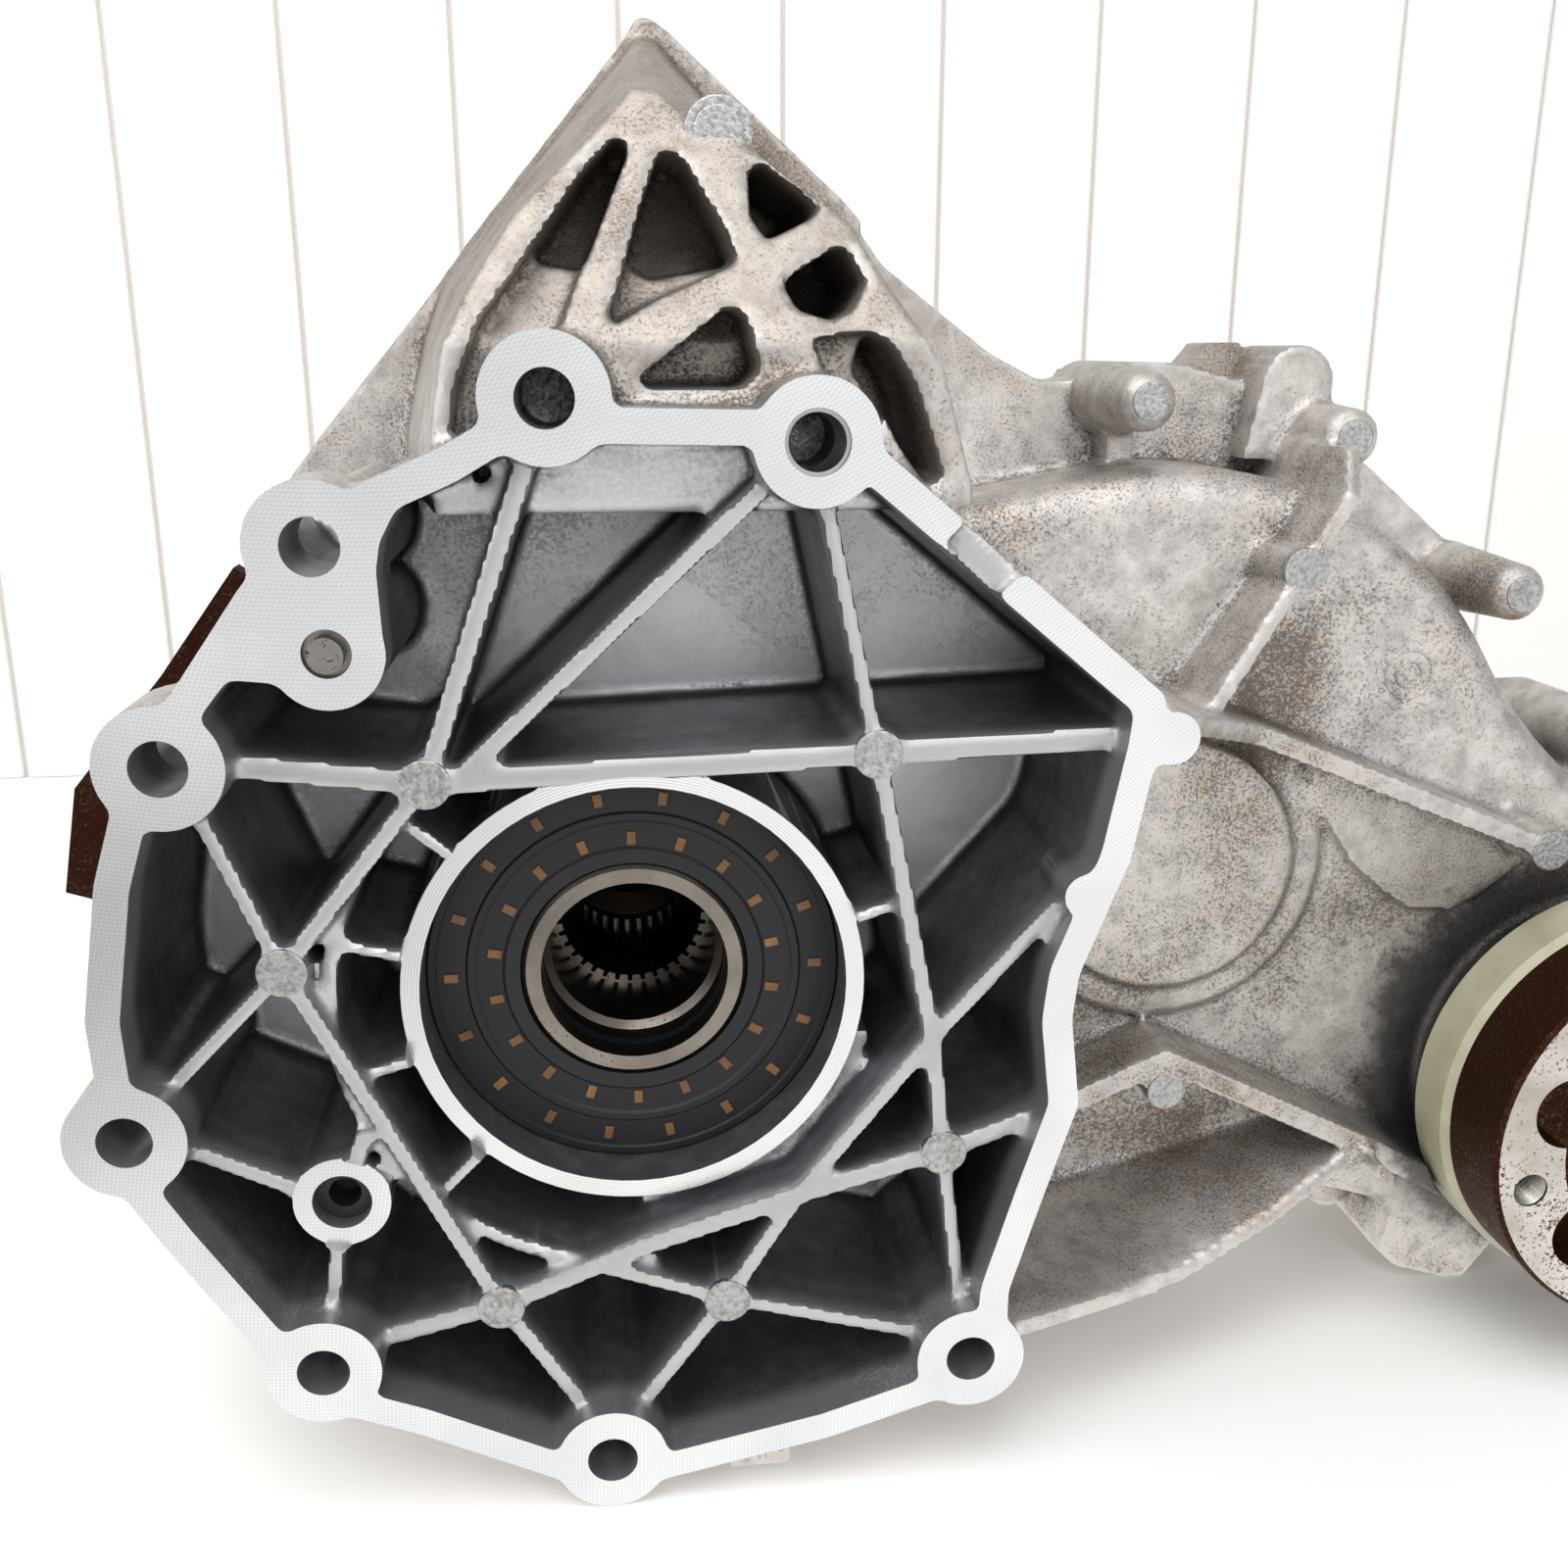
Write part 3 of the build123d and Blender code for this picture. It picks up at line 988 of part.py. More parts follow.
def hex_nut(centre, across, bore, y0, height):
    shape = Pos(centre[0], centre[1]) * RegularPolygon(across / math.sqrt(3), 6)
    return slab(shape - disc(centre, bore), y0, y0 + height)


def idler_gear(phase):
    gear = helical_gear(IDLER, IDLER_TEETH, phase, -1)
    gear = gear - tube(IDLER, 20, IDLER_DISH_R, GEAR_Y - 1, GEAR_Y + IDLER_DISH)
    gear = gear - tube(IDLER, 20, IDLER_DISH_R, GEAR_END_Y - IDLER_DISH, GEAR_END_Y + 1)
    gear = gear - [rod(c, 10, GEAR_Y, GEAR_END_Y) for c in spread(IDLER, 50, 6)]
    gear = gear - tube(IDLER, 0.1, 25, GEAR_Y - 1, GEAR_Y + 7.8)
    gear = gear - tube(IDLER, 0.1, 25, GEAR_END_Y - 7.4, GEAR_END_Y + 1)
    return gear + rod(IDLER, IDLER_SEAT_R, IDLER_FRONT_Y, IDLER_REAR_Y + IDLER_BEARING_W)


def output_gear(phase):
    gear = helical_gear(OUTPUT, MAIN_TEETH, phase, 1)
    bearing_end = OUT_BEARING_Y + OUT_BEARING_W
    rear_end = OUT_REAR_BEARING_Y + OUT_REAR_BEARING_W
    profile = [
        (0, OUT_FACE_Y + 3), (OUT_THREAD_R, OUT_FACE_Y + 3), (OUT_THREAD_R, OUT_RING_Y - 6),
        (OUT_SPLINE_R, OUT_RING_Y - 6), (OUT_SPLINE_R, OUT_BEARING_Y), (OUT_SEAT_R, OUT_BEARING_Y),
        (OUT_SEAT_R, bearing_end), (OUT_COLLAR_R, bearing_end), (OUT_COLLAR_R, OUT_REAR_BEARING_Y),
        (OUT_REAR_SEAT_R, OUT_REAR_BEARING_Y), (OUT_REAR_SEAT_R, rear_end), (0, rear_end),
    ]
    return gear + lathe(OUTPUT, profile)


def front_output_flange():
    """A barrel with a lobed recess in its face, threaded holes, and a hub for the seal."""
    profile = [
        (OUT_SPLINE_R, OUT_FACE_Y + OUT_RECESS_L), (OUT_SPLINE_R, OUT_BEARING_Y), (OUT_HUB_R, OUT_BEARING_Y),
        (OUT_HUB_R, OUT_RING_Y), (OUT_BARREL_R, OUT_RING_Y), (OUT_BARREL_R, OUT_FACE_Y + 1),
        (OUT_BARREL_R - 1, OUT_FACE_Y), (OUT_RECESS_R, OUT_FACE_Y),
        (OUT_RECESS_R, OUT_FACE_Y + OUT_RECESS_L),
    ]
    flange = lathe(OUTPUT, profile)
    lobes = spread(OUTPUT, OUT_RECESS_R + 1, OUT_HOLES, OUT_HOLE_ANGLE + 180 / OUT_HOLES)
    flange = flange - [rod(c, 9, OUT_FACE_Y - 1, OUT_FACE_Y + OUT_RECESS_L) for c in lobes]
    holes = spread(OUTPUT, OUT_PCD / 2, OUT_HOLES, OUT_HOLE_ANGLE)
    return flange - [rod(c, OUT_HOLE_R, OUT_FACE_Y - 1, OUT_FACE_Y + OUT_HOLE_L) for c in holes]


def output_dust_ring():
    profile = [
        (OUT_HUB_R, 0), (OUT_RING_R - 1.5, 0), (OUT_RING_R, 2), (OUT_RING_R, OUT_RING_L - 1),
        (OUT_RING_R - 1, OUT_RING_L), (OUT_RING_R - 4, OUT_RING_L), (OUT_RING_R - 5, 5), (OUT_HUB_R, 5),
    ]
    return Pos(0, OUT_RING_Y, 0) * lathe(OUTPUT, profile)


def front_output_seal():
    return Pos(0, OUT_NECK_Y, 0) * lathe(OUTPUT, [
        (OUT_HUB_R + FIT, 0.5), (OUT_BEARING_R - 1, 0), (OUT_BEARING_R, 1), (OUT_BEARING_R, 6),
        (OUT_HUB_R + 3, 6), (OUT_HUB_R + FIT, 4),
    ])


def dowel_sleeve():
    c = FLANGE_HOLES["b"]
    return tube(c, SLEEVE_R - SLEEVE_WALL, SLEEVE_R, FLANGE_Y + 1, FLANGE_Y + SLEEVE_L)


def locating_pin():
    body = rod(PIN, PIN_R, FLANGE_Y + PIN_SINK, FLANGE_Y + PIN_SINK + PIN_L)
    return body + rod(PIN, PIN_TIP_R, FLANGE_Y - 2, FLANGE_Y + PIN_SINK)


def boss_plug():
    cup = rod(PLUG, PLUG_R, PLUG_FACE_Y + 4, PLUG_FACE_Y + 14)
    return cup - rod(PLUG, 3.4, PLUG_FACE_Y + 3, PLUG_FACE_Y + 11)


def mouth_o_ring():
    return tube(MAIN, MOUTH_R + 0.05, MOUTH_R + 1.6, 6.2, 8.8)


def oil_plug(centre):
    """A screw plug with a hexagon socket; its head stands on a sealing washer."""
    y = PLUG_SEAT_Y + PLUG_WASHER_T
    plug = rod(centre, PLUG_HEAD_R, y, y + 5) + rod(centre, PLUG_THREAD_R, y - 9, y + 1)
    socket = Pos(centre[0], centre[1]) * RegularPolygon(PLUG_SOCKET_AF / math.sqrt(3), 6)
    return plug - slab(socket, y + 1, y + 6)


def plug_washer(centre):
    return tube(centre, PLUG_THREAD_R + 0.1, PLUG_HEAD_R + 1, PLUG_SEAT_Y, PLUG_SEAT_Y + PLUG_WASHER_T)


def side_bracket():
    plate = area(BRACKET)
    return slab(plate - disc(BRACKET_BOLT, 4.4), INNER_Y, INNER_Y + BRACKET_T)


def bracket_bolt():
    return hex_bolt(BRACKET_BOLT, SPLIT_BOLT_R, BOLT_AF, INNER_Y + BRACKET_T, BRACKET_T + 12).solid()


def breather():
    x, y, z = BREATHER
    stem = Pos(x, y, z - 8) * Cylinder(3.5, 12)
    return Pos(x, y, z) * Cylinder(7, 10) + stem


main_phase, idler_phase, output_phase = mesh_phases()
in_bearing = (MAIN, SEAL_R, SHAFT_R, BEARING_W, BEARING_Y)
rear_bearing = (MAIN, REAR_BEARING_R, REAR_SEAT_R, REAR_BEARING_W, REAR_BEARING_Y)
idler_front = (IDLER, IDLER_BEARING_R, IDLER_SEAT_R, IDLER_BEARING_W, IDLER_FRONT_Y)
idler_rear = (IDLER, IDLER_BEARING_R, IDLER_SEAT_R, IDLER_BEARING_W, IDLER_REAR_Y)
out_front = (OUTPUT, OUT_BEARING_R, OUT_SEAT_R, OUT_BEARING_W, OUT_BEARING_Y)
out_rear = (OUTPUT, OUT_REAR_BEARING_R, OUT_REAR_SEAT_R, OUT_REAR_BEARING_W, OUT_REAR_BEARING_Y)

nodes = {
    "front_housing": front_housing(),
    "rear_housing": rear_housing(),
    "split_bolts": split_bolts(),
    "input_shaft_seal": input_shaft_seal(),
    "input_snap_ring": snap_ring(MAIN, SEAL_R, 1.5, SEAL_W + 1.6, BEARING_Y - 0.5, 0.6),
    "input_bearing_outer": bearing_outer(*in_bearing),
    "input_bearing_inner": bearing_inner(*in_bearing),
    "input_bearing_balls": bearing_balls(*in_bearing, 10),
    "input_bearing_cage": bearing_cage(*in_bearing, 10),
    "main_shaft": main_shaft(),
    "mouth_o_ring": mouth_o_ring(),
    "main_gear": main_gear(main_phase),
    "gear_needles": gear_needles(),
    "idler_gear": idler_gear(idler_phase),
    "output_gear": output_gear(output_phase),
    "clutch_drum": clutch_drum(),
    "clutch_hub": clutch_hub(),
    "steel_plates": steel_plates(),
    "friction_plates": friction_plates(),
    "pressure_plate": pressure_plate(),
    "front_thrust_bearing": thrust_bearing(THRUST_Y, PLATE_IN_R + 0.5, PLATE_OUT_R - 0.5),
    "sliding_ring": sliding_ring(),
    "turning_ring": turning_ring(),
    "ramp_balls": ring_of_balls(MAIN, BALL_RING_R, BALL_R, BALLS, BALL_Y, 90),
    "ball_cage": ball_cage(),
    "rear_thrust_bearing": thrust_bearing(RAMP_END_Y + 0.1, 42, 58),
    "actuator_pinion": actuator_pinion(),
    "actuator_housing": actuator_housing(),
    "actuator_motor": actuator_motor(),
    "actuator_connector": actuator_connector(),
    "rear_bearing_outer": bearing_outer(*rear_bearing),
    "rear_bearing_inner": bearing_inner(*rear_bearing),
    "rear_bearing_balls": bearing_balls(*rear_bearing, 9),
    "rear_output_seal": rear_output_seal(),
    "rear_output_flange": rear_output_flange(),
    "rear_nut": hex_nut(MAIN, REAR_NUT_AF, REAR_THREAD_R, REAR_FLANGE_Y + 6, 14),
    "idler_bearing_outers": Compound([bearing_outer(*b).solid() for b in (idler_front, idler_rear)]),
    "idler_bearing_inners": Compound([bearing_inner(*b).solid() for b in (idler_front, idler_rear)]),
    "output_bearing_outers": Compound([bearing_outer(*b).solid() for b in (out_front, out_rear)]),
    "output_bearing_inners": Compound([bearing_inner(*b).solid() for b in (out_front, out_rear)]),
    "front_output_flange": front_output_flange(),
    "output_dust_ring": output_dust_ring(),
    "front_output_seal": front_output_seal(),
    "front_output_nut": hex_nut(OUTPUT, OUT_NUT_AF, OUT_THREAD_R, OUT_FACE_Y + OUT_RECESS_L - 7, 7),
    "dowel_sleeve": dowel_sleeve(),
    "locating_pin": locating_pin(),
    "boss_plug": boss_plug(),
    "oil_plugs": Compound([oil_plug(c).solid() for c in OIL_PLUGS]),
    "plug_washers": Compound([plug_washer(c).solid() for c in OIL_PLUGS]),
    "side_bracket": side_bracket(),
    "bracket_bolt": bracket_bolt(),
    "breather": breather(),
}

for name, shape in nodes.items():
    export_step(shape, f"parts/{name}.step")
    print(name, round(shape.volume))
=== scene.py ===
# %% [markdown]
# # A transfer case in cast aluminium
# This lesson dresses a finished CAD model. The CAD parts come in as a fixed frame: their places and
# sizes are right, but every edge is razor sharp and nothing has a finish yet. Step by step we give the
# castings their soft edges, cut the machined faces back to crisp planes, and build a material for each
# kind of metal, rubber and plastic.

# %% Load the frame
import json
import math

import bmesh
import bpy
import numpy as np
from mathutils import Matrix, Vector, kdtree


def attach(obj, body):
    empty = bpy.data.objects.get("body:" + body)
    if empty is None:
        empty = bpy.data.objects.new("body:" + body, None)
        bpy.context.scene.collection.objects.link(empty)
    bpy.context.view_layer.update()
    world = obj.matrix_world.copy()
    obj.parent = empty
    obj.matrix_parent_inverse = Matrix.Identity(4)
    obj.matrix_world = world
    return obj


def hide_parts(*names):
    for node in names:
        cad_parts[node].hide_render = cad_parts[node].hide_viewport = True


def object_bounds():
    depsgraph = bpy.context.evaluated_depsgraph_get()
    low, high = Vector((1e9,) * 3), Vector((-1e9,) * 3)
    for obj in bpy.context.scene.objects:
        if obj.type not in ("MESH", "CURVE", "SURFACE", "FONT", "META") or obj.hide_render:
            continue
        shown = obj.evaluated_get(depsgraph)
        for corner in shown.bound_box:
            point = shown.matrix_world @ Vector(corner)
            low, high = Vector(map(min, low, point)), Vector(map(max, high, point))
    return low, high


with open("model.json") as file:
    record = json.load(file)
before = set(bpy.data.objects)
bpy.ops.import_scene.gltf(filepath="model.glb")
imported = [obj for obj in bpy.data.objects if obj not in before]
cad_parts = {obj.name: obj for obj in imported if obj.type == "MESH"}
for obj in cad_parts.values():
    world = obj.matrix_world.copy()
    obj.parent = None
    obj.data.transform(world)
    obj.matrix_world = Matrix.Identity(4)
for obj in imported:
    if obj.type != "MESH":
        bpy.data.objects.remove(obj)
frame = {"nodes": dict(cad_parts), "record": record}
nodes = frame["nodes"]
cad_low, cad_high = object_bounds()
scene = bpy.context.scene
MM = 0.001
bpy.ops.object.select_all(action="DESELECT")
print("nodes loaded:", len(nodes))

# %% [markdown]
# ## Camera
# The photograph was taken from close by with a phone. The camera's place was worked out from circles of
# known size on the object, the shaft seal and the ring round it, so a plain focal length is enough and
# the picture needs no shift.

# %% The camera
camera_data = bpy.data.cameras.new("camera")
camera_data.lens = 34.9
camera_data.sensor_width = 36.0
camera_data.clip_start = 0.01
camera = bpy.data.objects.new("camera", camera_data)
camera.location = (-3.9 * MM, -310.2 * MM, 130.8 * MM)
camera.rotation_euler = (math.radians(74.04), 0, math.radians(-6.75))
scene.collection.objects.link(camera)
scene.camera = camera
print("camera at:", [round(value, 4) for value in camera.location])

# %% [markdown]
# ## Nodes and colours
# Every material below is built with the same few tools. One function adds a node with its settings, its
# values and the sockets that feed it. Another turns an sRGB hex colour into the linear numbers that
# Blender's sockets take. The last one empties the selection before the next step.

# %% Small tools


def linear(code):
    """An sRGB hex colour as the linear numbers that Blender's sockets take."""
    parts = [int(code[k:k + 2], 16) / 255 for k in (0, 2, 4)]
    return [p / 12.92 if p <= 0.04045 else ((p + 0.055) / 1.055) ** 2.4 for p in parts] + [1.0]


def add(material, kind, inputs=None, links=None, **settings):
    """Adds one node with its settings, its input values and the sockets that feed it."""
    node = material.node_tree.nodes.new("ShaderNode" + kind)
    for key, value in settings.items():
        setattr(node, key, value)
    for key, value in (inputs or {}).items():
        node.inputs[key].default_value = value
    for key, socket in (links or {}).items():
        material.node_tree.links.new(socket, node.inputs[key])
    return node


def new_material(name):
    material = bpy.data.materials.new(name)
    material.use_nodes = True
    material.node_tree.nodes.clear()
    return material


def finish_with(material, shader):
    add(material, "OutputMaterial", links={"Surface": shader})
    return material


def give(obj, material):
    obj.data.materials.clear()
    obj.data.materials.append(material)


def deselect():
    if bpy.context.mode != "OBJECT":
        bpy.ops.object.mode_set(mode="OBJECT")
    bpy.ops.object.select_all(action="DESELECT")


# %% [markdown]
# ## Floor, wall and light
# The case stands on a white table in front of a panelled white wall. Both are only stage. The wall is a
# row of planks with a small gap between them, and a plane a little behind their faces closes the gaps.
# That plane's paint is darker than the planks': painted shade in the gaps.
#
# Bare metal shows what it mirrors more than what lights it. So the white paint has two sides: the camera
# sees shaded paint, and the metal mirrors a plain bright surface that glows, as painted light. The glow
# is dimmer near the place where the photographer stood, a painted shadow, which is why the left of the
# milled face is greyer than its right.

# %% Stage sizes, in metres
FLOOR_Z = cad_low[2]
STAGE_SIZE = 6.0
WALL_Y = 0.62
WALL_HEIGHT = 2.0
PLANK = 0.092
PLANK_GAP = 0.0025
PLANK_DEPTH = 0.02
PLANK_EDGE = 0.002
PLANK_COUNT = 31
PLANKS_TO_THE_LEFT = 15.35
GROOVE = 0.004
# Where the person stood: near it the glow that the metal mirrors dims, as a painted shadow.
PERSON = (-0.3, -0.42, FLOOR_Z)
PERSON_NEAR, PERSON_FAR, PERSON_SHADE = 0.05, 0.36, 0.3

# %% The paint of table and wall


def stage_paint_and_glow(name, code, glare):
    """White paint: shaded for the camera, a painted glow for what mirrors it, with a painted shadow near
    the person.
    """
    material = new_material(name)
    paint = add(material, "BsdfPrincipled", {"Base Color": linear(code), "Roughness": 0.6})
    place = add(material, "NewGeometry").outputs["Position"]
    away = add(material, "VectorMath", {1: PERSON}, {0: place}, operation="DISTANCE").outputs["Value"]
    limits = {"From Min": PERSON_NEAR, "From Max": PERSON_FAR, "To Min": PERSON_SHADE, "To Max": glare}
    shade = add(material, "MapRange", limits, {"Value": away}).outputs["Result"]
    # For mirrored rays the paint glows as painted light, and dims near the person as a painted shadow.
    bright = add(material, "Emission", {"Color": linear(code)}, {"Strength": shade})
    mirrored = add(material, "LightPath").outputs["Is Glossy Ray"]
    mix = add(material, "MixShader", links={0: mirrored, 1: paint.outputs[0], 2: bright.outputs[0]})
    return finish_with(material, mix.outputs[0])


# %% The floor and the wall
bpy.ops.mesh.primitive_plane_add(size=STAGE_SIZE, location=(0, 0, FLOOR_Z))
floor = bpy.context.object
floor.name = "floor"
# The table's glow for mirrored rays is painted light, brighter than its own white paint.
give(floor, stage_paint_and_glow("white table top", "F4F3F1", 1.5))
deselect()

plank_centre = (0, WALL_Y + PLANK_DEPTH / 2, FLOOR_Z + WALL_HEIGHT / 2)
bpy.ops.mesh.primitive_cube_add(size=1, location=plank_centre)
plank = bpy.context.object
plank.name = "wall"
plank.dimensions = (PLANK - PLANK_GAP, PLANK_DEPTH, WALL_HEIGHT)
bpy.ops.object.transform_apply(scale=True)
bevel = plank.modifiers.new("edge", "BEVEL")
bevel.width = PLANK_EDGE
bevel.segments = 2
bpy.ops.object.modifier_apply(modifier="edge")
row = plank.modifiers.new("row", "ARRAY")
row.count = PLANK_COUNT
row.use_relative_offset = False
row.use_constant_offset = True
row.constant_offset_displace = (PLANK, 0, 0)
bpy.ops.object.modifier_apply(modifier="row")
plank.location.x -= PLANK * PLANKS_TO_THE_LEFT
give(plank, stage_paint_and_glow("white wall paint", "EFEDEA", 1.0))

back_turn = (math.radians(90), 0, 0)
bpy.ops.mesh.primitive_plane_add(size=STAGE_SIZE, location=(0, WALL_Y + GROOVE, 0), rotation=back_turn)
behind = bpy.context.object
behind.name = "wall_back"
# The gap plane is painted darker than the planks: painted shade in the gaps.
give(behind, stage_paint_and_glow("wall groove paint with painted shade", "D9D3CC", 1.0))
deselect()
print("stage:", floor.name, plank.name, behind.name)

# %% [markdown]
# The light is soft and comes from all sides. One large lamp hangs above, a weaker one stands at the left
# as a window, and one behind the camera fills the hollow side of the case.

# %% The lamps and the sky
world = bpy.data.worlds.new("room")
scene.world = world
world.use_nodes = True
sky = world.node_tree.nodes["Background"]
sky.inputs["Color"].default_value = linear("F2F4F8")
sky.inputs["Strength"].default_value = 0.62


def lamp(name, place, size, power, aim):
    """A square lamp of the given size in metres, turned to face the point it aims at."""
    data = bpy.data.lights.new(name, "AREA")
    data.size = size
    data.energy = power
    obj = bpy.data.objects.new(name, data)
    obj.location = place
    direction = [a - p for a, p in zip(aim, place)]
    flat = math.hypot(direction[0], direction[1])
    obj.rotation_euler = (math.atan2(flat, -direction[2]), 0, math.atan2(-direction[0], direction[1]))
    scene.collection.objects.link(obj)


lamp("ceiling_lamp", (-0.3, -0.5, 1.4), 1.2, 16, (0.05, 0.05, 0))
lamp("window", (-1.3, -0.7, 0.6), 0.9, 7, (0, 0, 0))
lamp("room_lamp", (0.5, -1.5, 0.9), 1.4, 12, (0, 0, 0))
scene.view_settings.view_transform = "Standard"
print("lamps:", len(bpy.data.lights))

# %% [markdown]
# ## Soft edges for the castings
# A die casting has no sharp edge except where a tool has cut it. So we copy the finished casting and
# work as the foundry does. The copy first gets some spare metal on every face that is milled or bored.
# Then its whole surface is rebuilt from small cells and smoothed, which rounds every edge and corner.
# Last, cutters take the spare metal off again, and leave those faces flat, round and crisp.

# %% Points of a mesh, in millimetres


def read_points(obj):
    points = np.empty(len(obj.data.vertices) * 3, dtype=np.float32)
    obj.data.vertices.foreach_get("co", points)
    return points.reshape(-1, 3) / MM


def write_points(obj, points):
    obj.data.vertices.foreach_set("co", (points * MM).astype(np.float32).ravel())
    obj.data.update()


def point_normals(obj):
    normals = np.empty(len(obj.data.vertices) * 3, dtype=np.float32)
    obj.data.vertices.foreach_get("normal", normals)
    return normals.reshape(-1, 3)


def store(obj, name, values):
    """Keeps one number for each point of the mesh, which a material can read by its name."""
    attribute = obj.data.attributes.new(name, "FLOAT", "POINT")
    attribute.data.foreach_set("value", np.asarray(values, dtype=np.float32))


# %% Modifiers, copies and turned solids


def apply(obj, kind, **settings):
    """Adds one modifier with its settings and applies it."""
    deselect()
    obj.select_set(True)
    bpy.context.view_layer.objects.active = obj
    modifier = obj.modifiers.new("step", kind)
    for key, value in settings.items():
        setattr(modifier, key, value)
    bpy.ops.object.modifier_apply(modifier="step")


def object_from(mesh, name):
    """Turns a finished bmesh into an object of the scene."""
    data = bpy.data.meshes.new(name)
    mesh.to_mesh(data)
    mesh.free()
    obj = bpy.data.objects.new(name, data)
    scene.collection.objects.link(obj)
    return obj


def merged_copy(node):
    """A copy of a CAD node whose split corners are joined again."""
    obj = bpy.data.objects.new(node + "_skin", nodes[node].data.copy())
    scene.collection.objects.link(obj)
    mesh = bmesh.new()
    mesh.from_mesh(obj.data)
    bmesh.ops.remove_doubles(mesh, verts=mesh.verts, dist=0.01 * MM)
    mesh.to_mesh(obj.data)
    mesh.free()
    return obj


def ring_points(mesh, centre, radius, y, segments):
    """One circle of points round an axis that runs along Y."""
    x, z = centre
    turns = [2 * math.pi * k / segments for k in range(segments)]
    return [mesh.verts.new(((x + radius * math.cos(t)) * MM, y * MM, (z + radius * math.sin(t)) * MM))
            for t in turns]


def turned_mesh(name, pieces, segments=64, hollow=False):
    """One mesh of turned solids: each piece is a centre and (radius, y) points, front to back.

    A hollow piece has no end faces: its line of points runs back to the first one, as a tube's does."""
    mesh = bmesh.new()
    for centre, profile in pieces:
        rings = [ring_points(mesh, centre, radius, y, segments) for radius, y in profile]
        for front, back in zip(rings, rings[1:] + rings[:1] if hollow else rings[1:]):
            for k in range(segments):
                j = (k + 1) % segments
                mesh.faces.new((front[k], front[j], back[j], back[k]))
        if not hollow:
            mesh.faces.new(rings[0][::-1])
            mesh.faces.new(rings[-1])
    bmesh.ops.recalc_face_normals(mesh, faces=mesh.faces)
    return object_from(mesh, name)


# %% [markdown]
# A corner of a casting holds dirt, and its darkening there is also painted shade; an edge is rubbed
# bright, so the materials need to know which is which. We smooth a copy of the skin much more. Where the
# copy's surface rises above the skin there is a corner, and where it sinks below there is an edge. The
# difference is stored on each point.

# %% Casting tools
STOCK = 2.0
BORE_STOCK = 0.8 * STOCK
CELL = 1.15
ROUNDS = 2
DEPTH_ROUNDS = 24
EDGE_ANGLE = math.radians(32)
SLAB_REACH = 600
slots = {entry["node"]: entry["material_slot"] for entry in frame["record"]["subparts"]}


def add_stock(obj, planes, bores):
    """Moves the points of flat faces outward and of bore walls inward by the spare metal."""
    old = read_points(obj)
    new = old.copy()
    for level, outward in planes:
        new[abs(old[:, 1] - level) < 0.01, 1] += outward * STOCK
    for (x, z), steps in bores:
        across = old[:, [0, 2]] - (x, z)
        distance = np.hypot(across[:, 0], across[:, 1])
        for radius, low, high in steps:
            near = (abs(distance - radius) < 0.03) & (old[:, 1] > low - 0.1) & (old[:, 1] < high + 0.1)
            new[np.ix_(near, [0, 2])] = np.array((x, z)) + across[near] * (1 - BORE_STOCK / radius)
    write_points(obj, new)


def corner_depth(obj):
    """How far each point lies below the smoothed surface: above 0 in corners, below 0 on edges."""
    copy = obj.copy()
    copy.data = obj.data.copy()
    scene.collection.objects.link(copy)
    apply(copy, "SMOOTH", factor=0.5, iterations=DEPTH_ROUNDS)
    moved = read_points(copy) - read_points(obj)
    bpy.data.objects.remove(copy)
    return (moved * point_normals(obj)).sum(axis=1)


def store_nearest(obj, name, places, values):
    """Stores on each point the value of the nearest of the given places, of which each second is read."""
    tree = kdtree.KDTree(len(places) // 2)
    for k in range(0, len(places) - 1, 2):
        tree.insert(places[k], k)
    tree.balance()
    store(obj, name, [values[tree.find(p)[1]] for p in read_points(obj)])


def cut(obj, faces, bores):
    """Takes the spare metal off: slabs for the flat faces, turned rods for the bores."""
    slabs = [((0, 0), [(SLAB_REACH, low), (SLAB_REACH, high)]) for low, high in faces]
    rods = []
    for centre, steps in bores:
        rods.append((centre, [point for r, low, high in steps for point in ((r, low), (r, high))]))
    for cutter in (turned_mesh("slab", slabs, 4), turned_mesh("bores", rods)):
        apply(obj, "BOOLEAN", operation="DIFFERENCE", object=cutter, solver="MANIFOLD")
        bpy.data.objects.remove(cutter)


def cast_skin(node, planes, bores, faces, triangles):
    """The copy of a casting with soft edges and cut faces, which stands for the CAD node."""
    skin = merged_copy(node)
    add_stock(skin, planes, bores)
    apply(skin, "REMESH", mode="VOXEL", voxel_size=CELL * MM)
    apply(skin, "SMOOTH", factor=0.5, iterations=ROUNDS)
    depth = corner_depth(skin)
    places = read_points(skin)
    apply(skin, "DECIMATE", ratio=triangles / (2 * len(skin.data.polygons)))
    cut(skin, faces, bores)
    store_nearest(skin, "corner", places, depth)
    deselect()
    skin.select_set(True)
    bpy.context.view_layer.objects.active = skin
    bpy.ops.object.shade_smooth_by_angle(angle=EDGE_ANGLE)
    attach(skin, "housing")
    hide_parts(node)
    return skin


# %% [markdown]
# The numbers below are the faces that the tools cut, in millimetres as on the drawing: levels along the
# shaft, and for each bore its centre and its steps. The flange lies at -25 and the ring round the seal
# at -11. The two halves meet at 80. The cover of the actuator has no cut face that shows, so it is only
# rounded.

